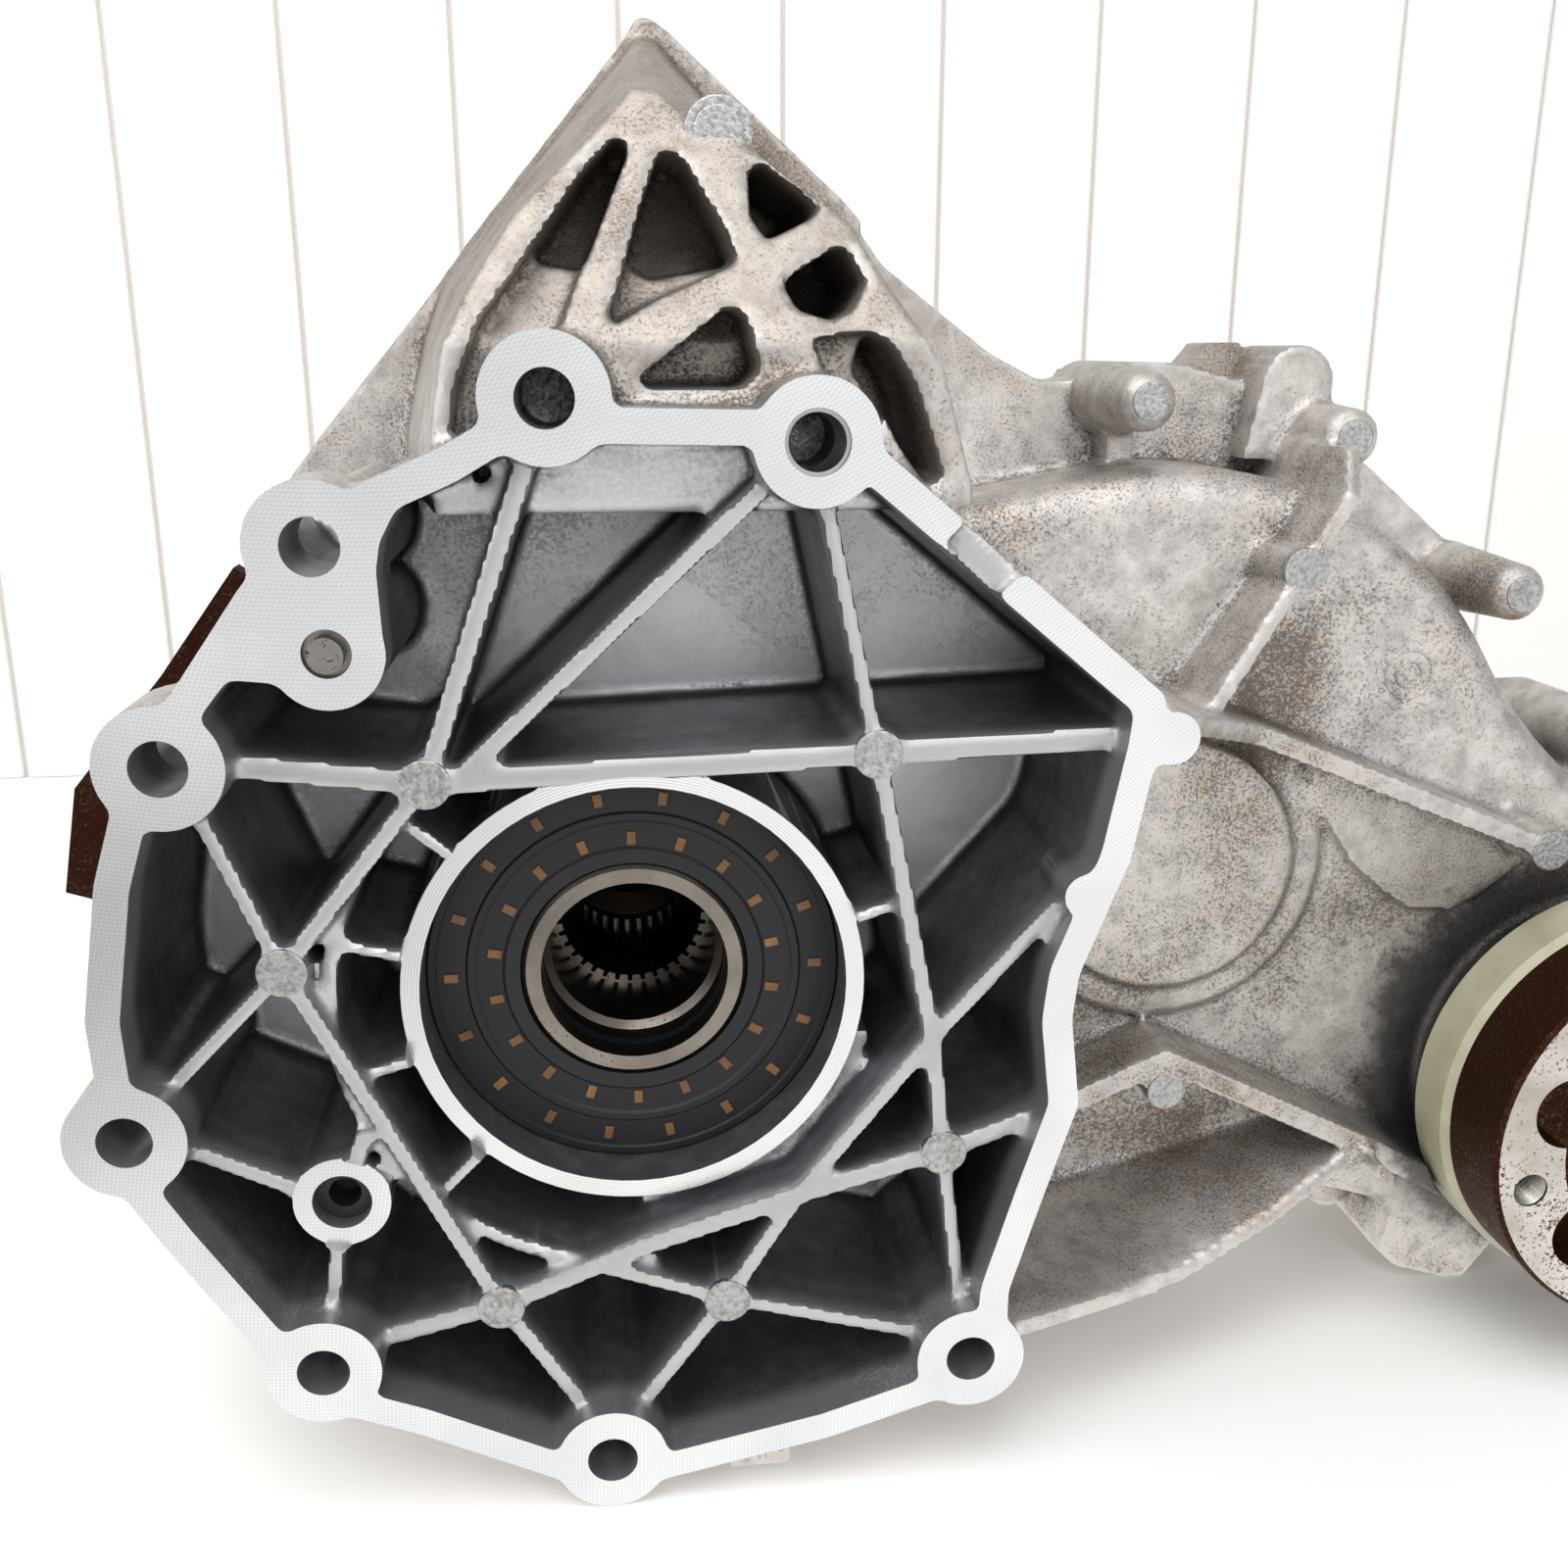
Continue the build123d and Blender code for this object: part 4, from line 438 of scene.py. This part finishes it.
# %% Where the tools cut
RIM, RING, JOINT, PLUG_FACE = -25.0, -11.0, 80.0, -17.0
RIM_CUT, JOINT_CUT, REAR_CUT = 30.0, 30.0, 60.0
BOLT_HOLE_R, BOLT_HOLE_END = 5.5, 5.0
BOLT_HOLES = [
    (-13.6, 122.3), (-56.9, 96.3), (-87.8, 55.4), (-102.6, -21.4), (-68.5, -78.0), (-8.3, -105.9),
    (72.0, -86.7),
]
SLEEVE_HOLE, SLEEVE_R, SLEEVE_END = (36.3, 114.2), 6.3, -9.0
PIN_HOLE, PIN_R, PIN_END = (-55.5, 76.5), 4.65, -3.0
PLUG_HOLE, PLUG_MOUTH_R, PLUG_R, PLUG_END = (-63.1, -42.3), 10.4, 6.2, 7.0
MAIN_AXIS, RING_R, SEAL_BORE_R, SEAL_BORE_END = (0.0, 0.0), 49.3, 45.0, 32.0
OUTPUT_AXIS = (250.19, -50.22)

front_bores = [(centre, [(BOLT_HOLE_R, RIM, BOLT_HOLE_END)]) for centre in BOLT_HOLES] + [
    (SLEEVE_HOLE, [(SLEEVE_R, RIM, SLEEVE_END), (BOLT_HOLE_R, SLEEVE_END, BOLT_HOLE_END)]),
    (PIN_HOLE, [(PIN_R, RIM, PIN_END)]),
    (PLUG_HOLE, [(PLUG_MOUTH_R, RIM + 1, PLUG_FACE), (PLUG_R, PLUG_FACE, PLUG_END)]),
    (MAIN_AXIS, [(RING_R, RIM + 1, RING), (SEAL_BORE_R, RING, SEAL_BORE_END)]),
]
front_planes = [(RIM, -1), (RING, -1), (PLUG_FACE, -1), (JOINT, 1)]
front_faces = [(RIM - RIM_CUT, RIM), (JOINT, JOINT + JOINT_CUT)]
print("bores:", len(front_bores))

# %% The three castings
front_skin = cast_skin("front_housing", front_planes, front_bores, front_faces, 180000)
rear_skin = cast_skin("rear_housing", [(JOINT, -1)], [], [(JOINT - REAR_CUT, JOINT)], 60000)
cover_skin = cast_skin("actuator_housing", [], [], [], 24000)
print("faces:", [len(skin.data.polygons) for skin in (front_skin, rear_skin, cover_skin)])

# %% [markdown]
# ## Materials
# Each finish starts from what the real surface is. A raw die casting is grey with a fine speckle, a
# milled face is bright with the cutter's arcs, a seal is matt black with rings from its mould. The
# patterns read object coordinates, so their scale is in real millimetres and they stay put when a part
# turns.

# %% Pattern helpers


def coordinates(material):
    return add(material, "TexCoord")


def noise(material, vector, per_mm, detail=4, rough=0.55):
    """Noise whose lumps are about one over per_mm in size, in millimetres."""
    inputs = {"Scale": per_mm * 1000, "Detail": detail, "Roughness": rough}
    return add(material, "TexNoise", inputs, {"Vector": vector}).outputs["Fac"]


def ramp(material, factor, stops):
    """A colour ramp from (place, hex) pairs."""
    node = add(material, "ValToRGB", links={"Fac": factor})
    bar = node.color_ramp
    while len(bar.elements) < len(stops):
        bar.elements.new(0.5)
    for element, (place, code) in zip(bar.elements, stops):
        element.position = place
        element.color = linear(code)
    return node.outputs["Color"]


def fade(material, value, low, high):
    """Turns a value into 0 to 1 between low and high."""
    limits = {"From Min": low, "From Max": high}
    return add(material, "MapRange", limits, {"Value": value}, interpolation_type="SMOOTHSTEP").outputs[0]


def calc(material, operation, a, b):
    """One step of arithmetic; each of a and b is a socket or a number."""
    node = add(material, "Math", operation=operation)
    for k, value in enumerate((a, b)):
        if isinstance(value, (int, float)):
            node.inputs[k].default_value = value
        else:
            material.node_tree.links.new(value, node.inputs[k])
    return node.outputs[0]


def plus(material, a, b):
    return calc(material, "ADD", a, b)


def times(material, a, b):
    return calc(material, "MULTIPLY", a, b)


def blend(material, factor, a, b):
    """Blends colour a toward colour b; a colour is a socket or a hex code."""
    node = add(material, "Mix", data_type="RGBA")
    for key, value in (("Factor", factor), ("A", a), ("B", b)):
        socket = [s for s in node.inputs if s.name == key and s.enabled][0]
        if isinstance(value, str):
            socket.default_value = linear(value)
        else:
            material.node_tree.links.new(value, socket)
    return [s for s in node.outputs if s.enabled][0]


def bump(material, height, strength, distance_mm):
    inputs = {"Strength": strength, "Distance": distance_mm * MM}
    return add(material, "Bump", inputs, {"Height": height}).outputs["Normal"]


def principled(material, metallic, colour, roughness, normal):
    """Ends a material with the standard shader."""
    links = {"Base Color": colour, "Roughness": roughness, "Normal": normal}
    shader = add(material, "BsdfPrincipled", {"Metallic": metallic}, links)
    return finish_with(material, shader.outputs[0])


# %% [markdown]
# ### Die-cast aluminium
# Outside, the skin of a casting is light grey and speckled where oil and dust have settled in its pores,
# with a brown tint in places. Inside the bell it kept a smooth grey film; there, painted shade darkens
# the walls and painted light brightens the floor and the ribs' crests. Edges are rubbed bright, and
# corners hold dirt and painted shade. Three values stored on each point tell the material where it is:
# how deep in a corner, whether it lies inside the bell, and how near to the neck of the output shaft,
# where the skin is darkened by oil, dust and painted shade. The last two are stored on the front casting
# alone, and count as 0 on the others.

# %% Where the bell is, and the neck
BELL_LINE = [
    (-62, 101), (-33, 113.5), (-20, 121), (24, 120.2), (47, 114), (107, 64), (106, 54), (101.5, 30),
    (92, 5), (91, -5), (93.5, -25), (87, -46), (80, -70), (80, -92), (40, -104.5), (3, -112),
    (-20, -110), (-50, -95), (-72, -86), (-81, -72), (-97, -46), (-106, -30), (-107, 5), (-102, 33),
    (-97, 48), (-87, 66), (-69, 88),
]
BELL_FLOOR = 36.5
OFF_THE_WALL = 3.0
# Round the neck the skin is darkened: baked-on oil and dust, and painted shade in the trough there.
NECK_DARK_R, NECK_DARK_FADE, NECK_DARK_END = 74.0, 26.0, 60.0


def within(points, line):
    """For each (x, z) point, whether it lies inside the closed line."""
    count = np.zeros(len(points), dtype=int)
    for (x0, z0), (x1, z1) in zip(line, line[1:] + line[:1]):
        spans = (points[:, 1] < z0) != (points[:, 1] < z1)
        crossing = x0 + (points[:, 1] - z0) * (x1 - x0) / ((z1 - z0) or 1)
        count += spans & (points[:, 0] < crossing)
    return count % 2 == 1


def mark_bell(obj):
    """Stores 1 on the bell's inner side. A point is judged a little off its wall, on the open side."""
    points = read_points(obj)
    off = points[:, [0, 2]] + OFF_THE_WALL * point_normals(obj)[:, [0, 2]]
    store(obj, "bell", within(off, BELL_LINE) & (points[:, 1] < BELL_FLOOR))


def mark_neck_darkening(obj):
    """Stores how near each point is to the neck, from 1 at the neck to 0 further out."""
    points = read_points(obj)
    reach = np.hypot(points[:, 0] - OUTPUT_AXIS[0], points[:, 2] - OUTPUT_AXIS[1])
    store(obj, "neck_dirt_and_shade", np.clip((NECK_DARK_R - reach) / NECK_DARK_FADE, 0, 1) * (points[:, 1] < NECK_DARK_END))


mark_bell(front_skin)
mark_neck_darkening(front_skin)
print("stored on the front casting:", front_skin.data.attributes.keys())

# %% [markdown]
# The patterns of the casting are three noises, from specks under a millimetre to patches of some
# centimetres. Each function below returns the colour of one kind of place, and the material blends them.

# %% The colours of the casting


def stored(material, name):
    return add(material, "Attribute", attribute_name=name).outputs["Fac"]


def outside_colour(material, middle, broad, speck, height):
    """Light grey with a brown tint in patches, dark specks, and a browner tower above the flange."""
    light = ramp(material, middle, [(0.3, "A6A19D"), (0.5, "C4BFBB"), (0.7, "DAD6D2")])
    tint = fade(material, plus(material, middle, times(material, broad, 1.2)), 1.1, 1.45)
    light = blend(material, times(material, tint, 0.55), light, "A08769")
    colour = blend(material, times(material, speck, 0.8), light, "5A534F")
    tower = fade(material, height, 112 * MM, 142 * MM)
    return blend(material, times(material, tower, 0.5), colour, "7D7063")


def bell_colour(material, middle, facing, depth):
    """The grey film inside the bell, with painted shade on the walls and painted light on the floor and
    crests.
    """
    # Faces turned to the front are lighter and walls darker: painted light and painted shade.
    film_and_painted_shade = blend(material, fade(material, facing, 0.55, 0.98), "696A6E", "CACACC")
    film_and_painted_shade = blend(material, times(material, fade(material, middle, 0.4, 0.75), 0.3), film_and_painted_shade, "ABACAF")
    # The crests, nearest the front, get their bare grey, with painted light on them.
    crest_and_painted_light = fade(material, depth, -12 * MM, -18.5 * MM)
    return blend(material, times(material, crest_and_painted_light, 0.8), film_and_painted_shade, "A6A6A7")


def with_dirt_and_shade(material, skin, fine, middle, pocket):
    """Dirt and painted shade in the corners; baked-on oil and dust with painted shade round the output
    shaft.
    """
    # Corners darken: dirt, and painted shade in the corners.
    corner_dirt_and_shade = times(material, pocket, fade(material, plus(material, middle, fine), 0.75, 1.15))
    skin = blend(material, times(material, corner_dirt_and_shade, 0.6), skin, "2B2826")
    # The darkening round the neck is oil and dust, and painted shade in the trough beside the neck.
    neck_dirt_and_shade = plus(material, stored(material, "neck_dirt_and_shade"), times(material, middle, 0.9))
    return blend(material, times(material, fade(material, neck_dirt_and_shade, 0.8, 1.2), 0.8), skin, "1F1D1C")


# %% Cast aluminium


def cast_aluminium(name):
    """Raw die casting: specks crowd in some patches and in corners, corners get dirt and painted shade,
    edges are rubbed bright.
    """
    material = new_material(name)
    coords = coordinates(material)
    place = coords.outputs["Object"]
    spot = add(material, "SeparateXYZ", links={"Vector": place})
    normal = add(material, "SeparateXYZ", links={"Vector": coords.outputs["Normal"]})
    facing = times(material, normal.outputs["Y"], -1.0)
    corner, bell = stored(material, "corner"), stored(material, "bell")
    fine = noise(material, place, 1.5, 6, 0.75)
    middle = noise(material, place, 0.16, 5, 0.65)
    broad = noise(material, place, 0.022, 4, 0.6)
    edge = fade(material, corner, -0.3, -0.8)
    pocket = fade(material, corner, 0.15, 0.75)
    crowd = plus(material, fine, times(material, broad, 0.55))
    # Specks crowd into corners: dirt, and part of the painted shade there.
    crowd = plus(material, crowd, times(material, corner, 0.1))
    speck = times(material, fade(material, crowd, 0.76, 0.92), calc(material, "SUBTRACT", 1.0, edge))
    outside = outside_colour(material, middle, broad, speck, spot.outputs["Z"])
    skin = blend(material, bell, outside, bell_colour(material, middle, facing, spot.outputs["Y"]))
    skin = blend(material, times(material, edge, 0.55), skin, "C2C1C0")
    skin = with_dirt_and_shade(material, skin, fine, middle, pocket)
    roughness = plus(material, 0.40, times(material, speck, 0.2))
    roughness = plus(material, roughness, times(material, pocket, 0.1))
    pits = calc(material, "SUBTRACT", 1.0, times(material, bell, 0.75))
    height = plus(material, times(material, fine, 0.6), times(material, middle, 1.2))
    relief = bump(material, times(material, height, pits), 0.55, 0.4)
    return principled(material, 0.8, skin, roughness, relief)


raw_casting = cast_aluminium("die-cast aluminium")
for skin in (front_skin, rear_skin, cover_skin):
    give(skin, raw_casting)
print("material:", raw_casting.name, "with", len(raw_casting.node_tree.nodes), "nodes")

# %% [markdown]
# ### Milled faces
# A face mill leaves two sets of fine arcs that cross each other. The arcs are rings about two far
# centres, a little under a millimetre apart. Such a face is its own material on the same casting. The
# bore and the ring round the seal were turned about the shaft's axis, so their rings have that centre.

# %% Milled aluminium
RING_PITCH = 0.314
MILL_PITCH, BORE_PITCH = 0.8, 0.6
MILL_CENTRES = ((0.05, 0, -0.31), (-0.36, 0, 0.12))


def milled_aluminium(name, pitch_mm, centres, rough):
    """Bright bare metal with the tool's rings about each centre, in metres from the object's origin."""
    material = new_material(name)
    place = coordinates(material).outputs["Object"]
    slow = noise(material, place, 0.03, 3)
    arcs = None
    for centre in centres:
        moved = add(material, "Mapping", {"Location": centre}, {"Vector": place}).outputs[0]
        inputs = {"Scale": RING_PITCH / (pitch_mm * MM), "Distortion": 0.5, "Detail": 2.0}
        inputs["Detail Scale"] = 3.0
        wave = add(material, "TexWave", inputs, {"Vector": moved}, wave_type="RINGS", rings_direction="Y")
        arcs = wave.outputs["Fac"] if arcs is None else plus(material, arcs, wave.outputs["Fac"])
    share = calc(material, "DIVIDE", arcs, float(len(centres)))
    colour = ramp(material, share, [(0.0, "CFD0D1"), (0.5, "DDDEDF"), (1.0, "EAEAEB")])
    stain = times(material, fade(material, slow, 0.4, 0.65), 0.25)
    colour = blend(material, stain, colour, "B9BBBD")
    roughness = plus(material, rough, times(material, slow, 0.12))
    return principled(material, 1.0, colour, roughness, bump(material, share, 0.4, 0.02))


def give_cut_faces(obj, material, chosen):
    """Puts one more material on the faces for which chosen(centres, normals) holds, in millimetres."""
    obj.data.materials.append(material)
    centres = np.empty(len(obj.data.polygons) * 3, dtype=np.float32)
    normals = np.empty(len(obj.data.polygons) * 3, dtype=np.float32)
    index = np.empty(len(obj.data.polygons), dtype=np.int32)
    obj.data.polygons.foreach_get("center", centres)
    obj.data.polygons.foreach_get("normal", normals)
    obj.data.polygons.foreach_get("material_index", index)
    picked = chosen(centres.reshape(-1, 3) / MM, normals.reshape(-1, 3))
    index[picked] = len(obj.data.materials) - 1
    obj.data.polygons.foreach_set("material_index", index)
    obj.data.update()
    print(material.name, "on", int(picked.sum()), "faces of", obj.name)


def facing_front(level):
    """Chooses the faces that lie at one level along the shaft and face the front."""
    return lambda centres, normals: (abs(centres[:, 1] - level) < 0.05) & (normals[:, 1] < -0.99)


def in_the_bore(centres, normals):
    """Chooses the seal's bore and the ring round it."""
    near = np.hypot(centres[:, 0], centres[:, 2]) < RING_R + 0.1
    return near & (centres[:, 1] > RING - 0.05) & (centres[:, 1] < 0.5)


milled = milled_aluminium("face-milled aluminium", MILL_PITCH, MILL_CENTRES, 0.24)
bored = milled_aluminium("bored aluminium", BORE_PITCH, ((0, 0, 0),), 0.2)
give_cut_faces(front_skin, milled, facing_front(RIM))
give_cut_faces(front_skin, milled, facing_front(PLUG_FACE))
give_cut_faces(front_skin, bored, in_the_bore)

# %% [markdown]
# ### Steel, rubber and plastic
# The turned and rolled steel parts share one way of building their finish: a base colour with a slow
# change in it, fine lines round the axis from the lathe, and spots of rust where the real one has them.
# Ground bearing steel is the brightest, zinc plate is warmer and duller, and bare steel that has stood
# outside is brown all over. Rubber, nylon and lining paper are moulded or pressed: a matt base colour
# with the fine grain of the mould.

# %% Steels


def steel(name, dark, light, rough, rust=0.0, rust_code="4A2A1B", lines=0.0):
    """Bare or plated steel, with rust from 0 to 1 and the lathe's lines from 0 to 1."""
    material = new_material(name)
    place = coordinates(material).outputs["Object"]
    slow = noise(material, place, 0.05, 4)
    fine = noise(material, place, 1.2, 3, 0.65)
    colour = ramp(material, slow, [(0.35, dark), (0.65, light)])
    roughness = plus(material, rough, times(material, fine, 0.08))
    if rust:
        patchy = plus(material, fine, times(material, slow, 0.5))
        spots = fade(material, patchy, 0.98 - 0.5 * rust, 1.02 - 0.3 * rust)
        colour = blend(material, spots, colour, rust_code)
        roughness = plus(material, rough, times(material, spots, 0.3))
    height = times(material, fine, 0.3 + rust)
    if lines:
        along = add(material, "Mapping", {"Scale": (0.02, 1, 0.02)}, {"Vector": place}).outputs[0]
        height = plus(material, height, times(material, noise(material, along, 2.0, 3), lines))
    return principled(material, 1.0, colour, roughness, bump(material, height, 0.4, 0.08))


def moulded(name, dark, light, rough, grain):
    """Rubber, plastic or pressed paper with a fine grain, in lumps per millimetre."""
    material = new_material(name)
    place = coordinates(material).outputs["Object"]
    slow = noise(material, place, 0.06, 3)
    fine = noise(material, place, grain, 3, 0.6)
    colour = ramp(material, slow, [(0.3, dark), (0.7, light)])
    roughness = plus(material, rough, times(material, fine, 0.15))
    return principled(material, 0.0, colour, roughness, bump(material, fine, 0.3, 0.05))


# %% The other parts get their finishes
finishes = {
    "zinc_plated_steel": steel("zinc-plated steel", "8F8C84", "B4B1A8", 0.35),
    "bearing_steel": steel("ground bearing steel", "A5A6A8", "C2C3C5", 0.16, lines=0.3),
    "gear_steel": steel("case-hardened gear steel", "6E6862", "8C857D", 0.28, rust=0.15, lines=0.5),
    "rusty_steel": steel("bare steel with rust", "433229", "5C463A", 0.45, rust=0.9, rust_code="3A2218"),
    "brass": steel("machined cage brass", "A88746", "C6A65E", 0.25),
    "black_rubber": moulded("nitrile rubber", "05060A", "0A0C12", 0.5, 2.0),
    "friction_lining": moulded("paper friction lining", "3A2A1C", "4A3828", 0.8, 1.5),
    "ivory_plastic": moulded("ivory nylon", "9A967D", "B5B198", 0.35, 0.8),
    "black_plastic": moulded("glass-filled black nylon", "141416", "1F1F22", 0.45, 1.5),
    "motor_can": moulded("black e-coated steel", "15161A", "22242A", 0.3, 1.0),
}
for node, slot in slots.items():
    give(nodes[node], finishes.get(slot, raw_casting))
give(nodes["locating_pin"], steel("worn pin steel", "6E6B68", "8F8C89", 0.3, rust=0.2))
print("finishes:", len(finishes), "for", len(slots), "nodes")

# %% [markdown]
# ## Small raised marks
# The die left a round mark where each ejector pin pushed the casting out: a low disc with a crisp edge
# and a crinkled face. They sit on the ribs' crossings, on the outer ribs and on the ends of the bolt
# bosses. A bare ring marks the place of the date stamp.

# %% Where the marks are
RIB_LEVEL, CASE_LEVEL, TOWER_LEVEL, WALL_LEVEL = -19.0, 16.0, 17.0, 35.0
RIB_MARKS = [(-40.0, 49.2), (49.7, 52.5), (-70.4, 11.1), (-31.2, -69.1), (18.0, -71.4), (65.7, -38.0)]
CASE_MARKS = [((153.2, 82.7), 5.3), ((222.4, 13.7), 5.0), ((129.5, -45.0), 4.8), ((180.9, -66.0), 4.5)]
BOSS_MARKS = {
    (121.5, 119.3): 35.0, (173.5, 110.5): 39.0, (218.7, 73.3): 35.0, (255.0, 32.0): 35.0,
    (312.0, -10.0): 35.0, (318.0, -62.0): 35.0, (283.0, -106.0): 35.0, (49.0, 153.0): 60.0,
}
TOWER_MARK = (21.6, 172.6)
RIB_MARK_R, BOSS_MARK_R = 5.1, 4.4
MARK_DEPTH = 2.5

# %% Ejector marks


def crinkled_aluminium(name):
    """The face of an ejector mark: light, and darker in its small dents."""
    material = new_material(name)
    place = coordinates(material).outputs["Object"]
    dents = noise(material, place, 0.9, 3, 0.6)
    fine = noise(material, place, 2.4, 3, 0.6)
    colour = ramp(material, dents, [(0.35, "8A8784"), (0.48, "A2A1A0"), (0.65, "B4B4B4")])
    height = plus(material, dents, times(material, fine, 0.3))
    links = {"Base Color": colour, "Normal": bump(material, height, 0.7, 0.5)}
    shader = add(material, "BsdfPrincipled", {"Metallic": 0.9, "Roughness": 0.34}, links)
    return finish_with(material, shader.outputs[0])


def mark(centre, radius, level):
    """A low disc with a small round at its edge; its back is sunk in the casting."""
    profile = [(radius - 0.45, level), (radius - 0.1, level + 0.12), (radius, level + 0.4)]
    return centre, profile + [(radius, level + MARK_DEPTH)]


marks = [mark(centre, RIB_MARK_R, RIB_LEVEL - 0.55) for centre in RIB_MARKS]
marks += [mark(centre, radius, CASE_LEVEL - 0.6) for centre, radius in CASE_MARKS]
marks += [mark(centre, BOSS_MARK_R, level - 0.15) for centre, level in BOSS_MARKS.items()]
marks += [mark(TOWER_MARK, 7.0, TOWER_LEVEL - 0.1), mark(TOWER_MARK, 5.2, TOWER_LEVEL - 0.5)]
ejector_marks = turned_mesh("ejector_marks", marks, 48)
give(ejector_marks, crinkled_aluminium("crinkled cast aluminium"))
print("ejector marks:", len(marks))

# %% The ring of the date stamp
STAMP = (191.3, 54.2)
STAMP_PLACE = (STAMP[0] * MM, (WALL_LEVEL + 0.05) * MM, STAMP[1] * MM)
STAMP_RADII, STAMP_WIRE_R = (6.0, 3.2), 0.4

stamp_rings = []
for radius in STAMP_RADII:
    bpy.ops.mesh.primitive_torus_add(
        major_radius=radius * MM, minor_radius=STAMP_WIRE_R * MM, major_segments=64, minor_segments=10,
        location=STAMP_PLACE, rotation=(math.pi / 2, 0, 0))
    stamp_rings.append(bpy.context.object)
deselect()
for ring in stamp_rings:
    ring.select_set(True)
bpy.context.view_layer.objects.active = stamp_rings[0]
bpy.ops.object.join()
bpy.ops.object.transform_apply(location=True, rotation=True, scale=True)
stamp_ring = bpy.context.object
stamp_ring.name = "stamp_ring"
give(stamp_ring, raw_casting)
for piece in (ejector_marks, stamp_ring):
    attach(piece, "housing")
print("stamp ring made of", len(stamp_rings), "rings")

# %% [markdown]
# ## The output flange's face, the seal's windows and the threads
# The front of the output flange was turned last and is rubbed by the joint that bolts on it, so it is
# bright, with rust only in specks. The seal's face has two rings of small brown windows. The six holes
# of the flange are threaded, so each gets a tube with a saw-tooth inner wall.

# %% The flange's bright face
FLANGE_FACE = -13.0
flange = nodes["front_output_flange"]
bright_steel = steel("turned steel with rust specks", "A9A39C", "CFCCC8", 0.26, 0.35, "5A3524", 0.2)


def flange_front(centres, normals):
    return (normals[:, 1] < -0.9) & (centres[:, 1] < FLANGE_FACE + 1)


give_cut_faces(flange, bright_steel, flange_front)

# %% Seal windows
SEAL_RINGS = ((39.6, 18, 0.0), (30.5, 18, 10.0))
WINDOW_SIZE = (1.9, 0.5, 3.0)
WINDOW_Y = 0.32
WINDOW_EDGE = 0.15


def seal_windows():
    """Small blocks in rings on the seal's face, each standing along its own radius."""
    mesh = bmesh.new()
    for radius, count, start in SEAL_RINGS:
        for k in range(count):
            turn = math.radians(start + 360 * k / count)
            made = bmesh.ops.create_cube(mesh, size=1)["verts"]
            bmesh.ops.scale(mesh, vec=[side * MM for side in WINDOW_SIZE], verts=made)
            bmesh.ops.transform(mesh, matrix=Matrix.Rotation(math.pi / 2 - turn, 4, "Y"), verts=made)
            move = (radius * math.cos(turn) * MM, WINDOW_Y * MM, radius * math.sin(turn) * MM)
            bmesh.ops.translate(mesh, vec=move, verts=made)
    obj = object_from(mesh, "seal_windows")
    apply(obj, "BEVEL", width=WINDOW_EDGE * MM, segments=2)
    return obj


windows = seal_windows()
give(windows, moulded("brown rubber window", "54381D", "80582C", 0.5, 2.0))
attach(windows, "housing")
print("seal windows:", sum(count for radius, count, start in SEAL_RINGS))

# %% Threads
FLANGE_PCD = 84.0
FLANGE_HOLES, FIRST_HOLE = 6, 195
THREAD_PITCH, THREAD_TURNS = 1.25, 11
THREAD_START = FLANGE_FACE + 0.6
THREAD_MAJOR, THREAD_MINOR, THREAD_OUTER = 4.2, 3.65, 4.45


def thread_sleeve(centre):
    """A tube in the hole: a saw-tooth inner wall from the front to the back, then a plain outer wall."""
    profile = []
    for k in range(THREAD_TURNS):
        y = THREAD_START + THREAD_PITCH * k
        profile += [(THREAD_MAJOR, y), (THREAD_MINOR, y + THREAD_PITCH / 2)]
    end = THREAD_START + THREAD_PITCH * THREAD_TURNS
    return centre, profile + [(THREAD_MAJOR, end), (THREAD_OUTER, end), (THREAD_OUTER, THREAD_START)]


sleeves = []
for k in range(FLANGE_HOLES):
    turn = math.radians(FIRST_HOLE + 360 * k / FLANGE_HOLES)
    x = OUTPUT_AXIS[0] + FLANGE_PCD / 2 * math.cos(turn)
    z = OUTPUT_AXIS[1] + FLANGE_PCD / 2 * math.sin(turn)
    sleeves.append(thread_sleeve((x, z)))
flange_threads = turned_mesh("flange_threads", sleeves, 32, hollow=True)
give(flange_threads, finishes["zinc_plated_steel"])
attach(flange_threads, "front_output")
print("threads:", len(sleeves))
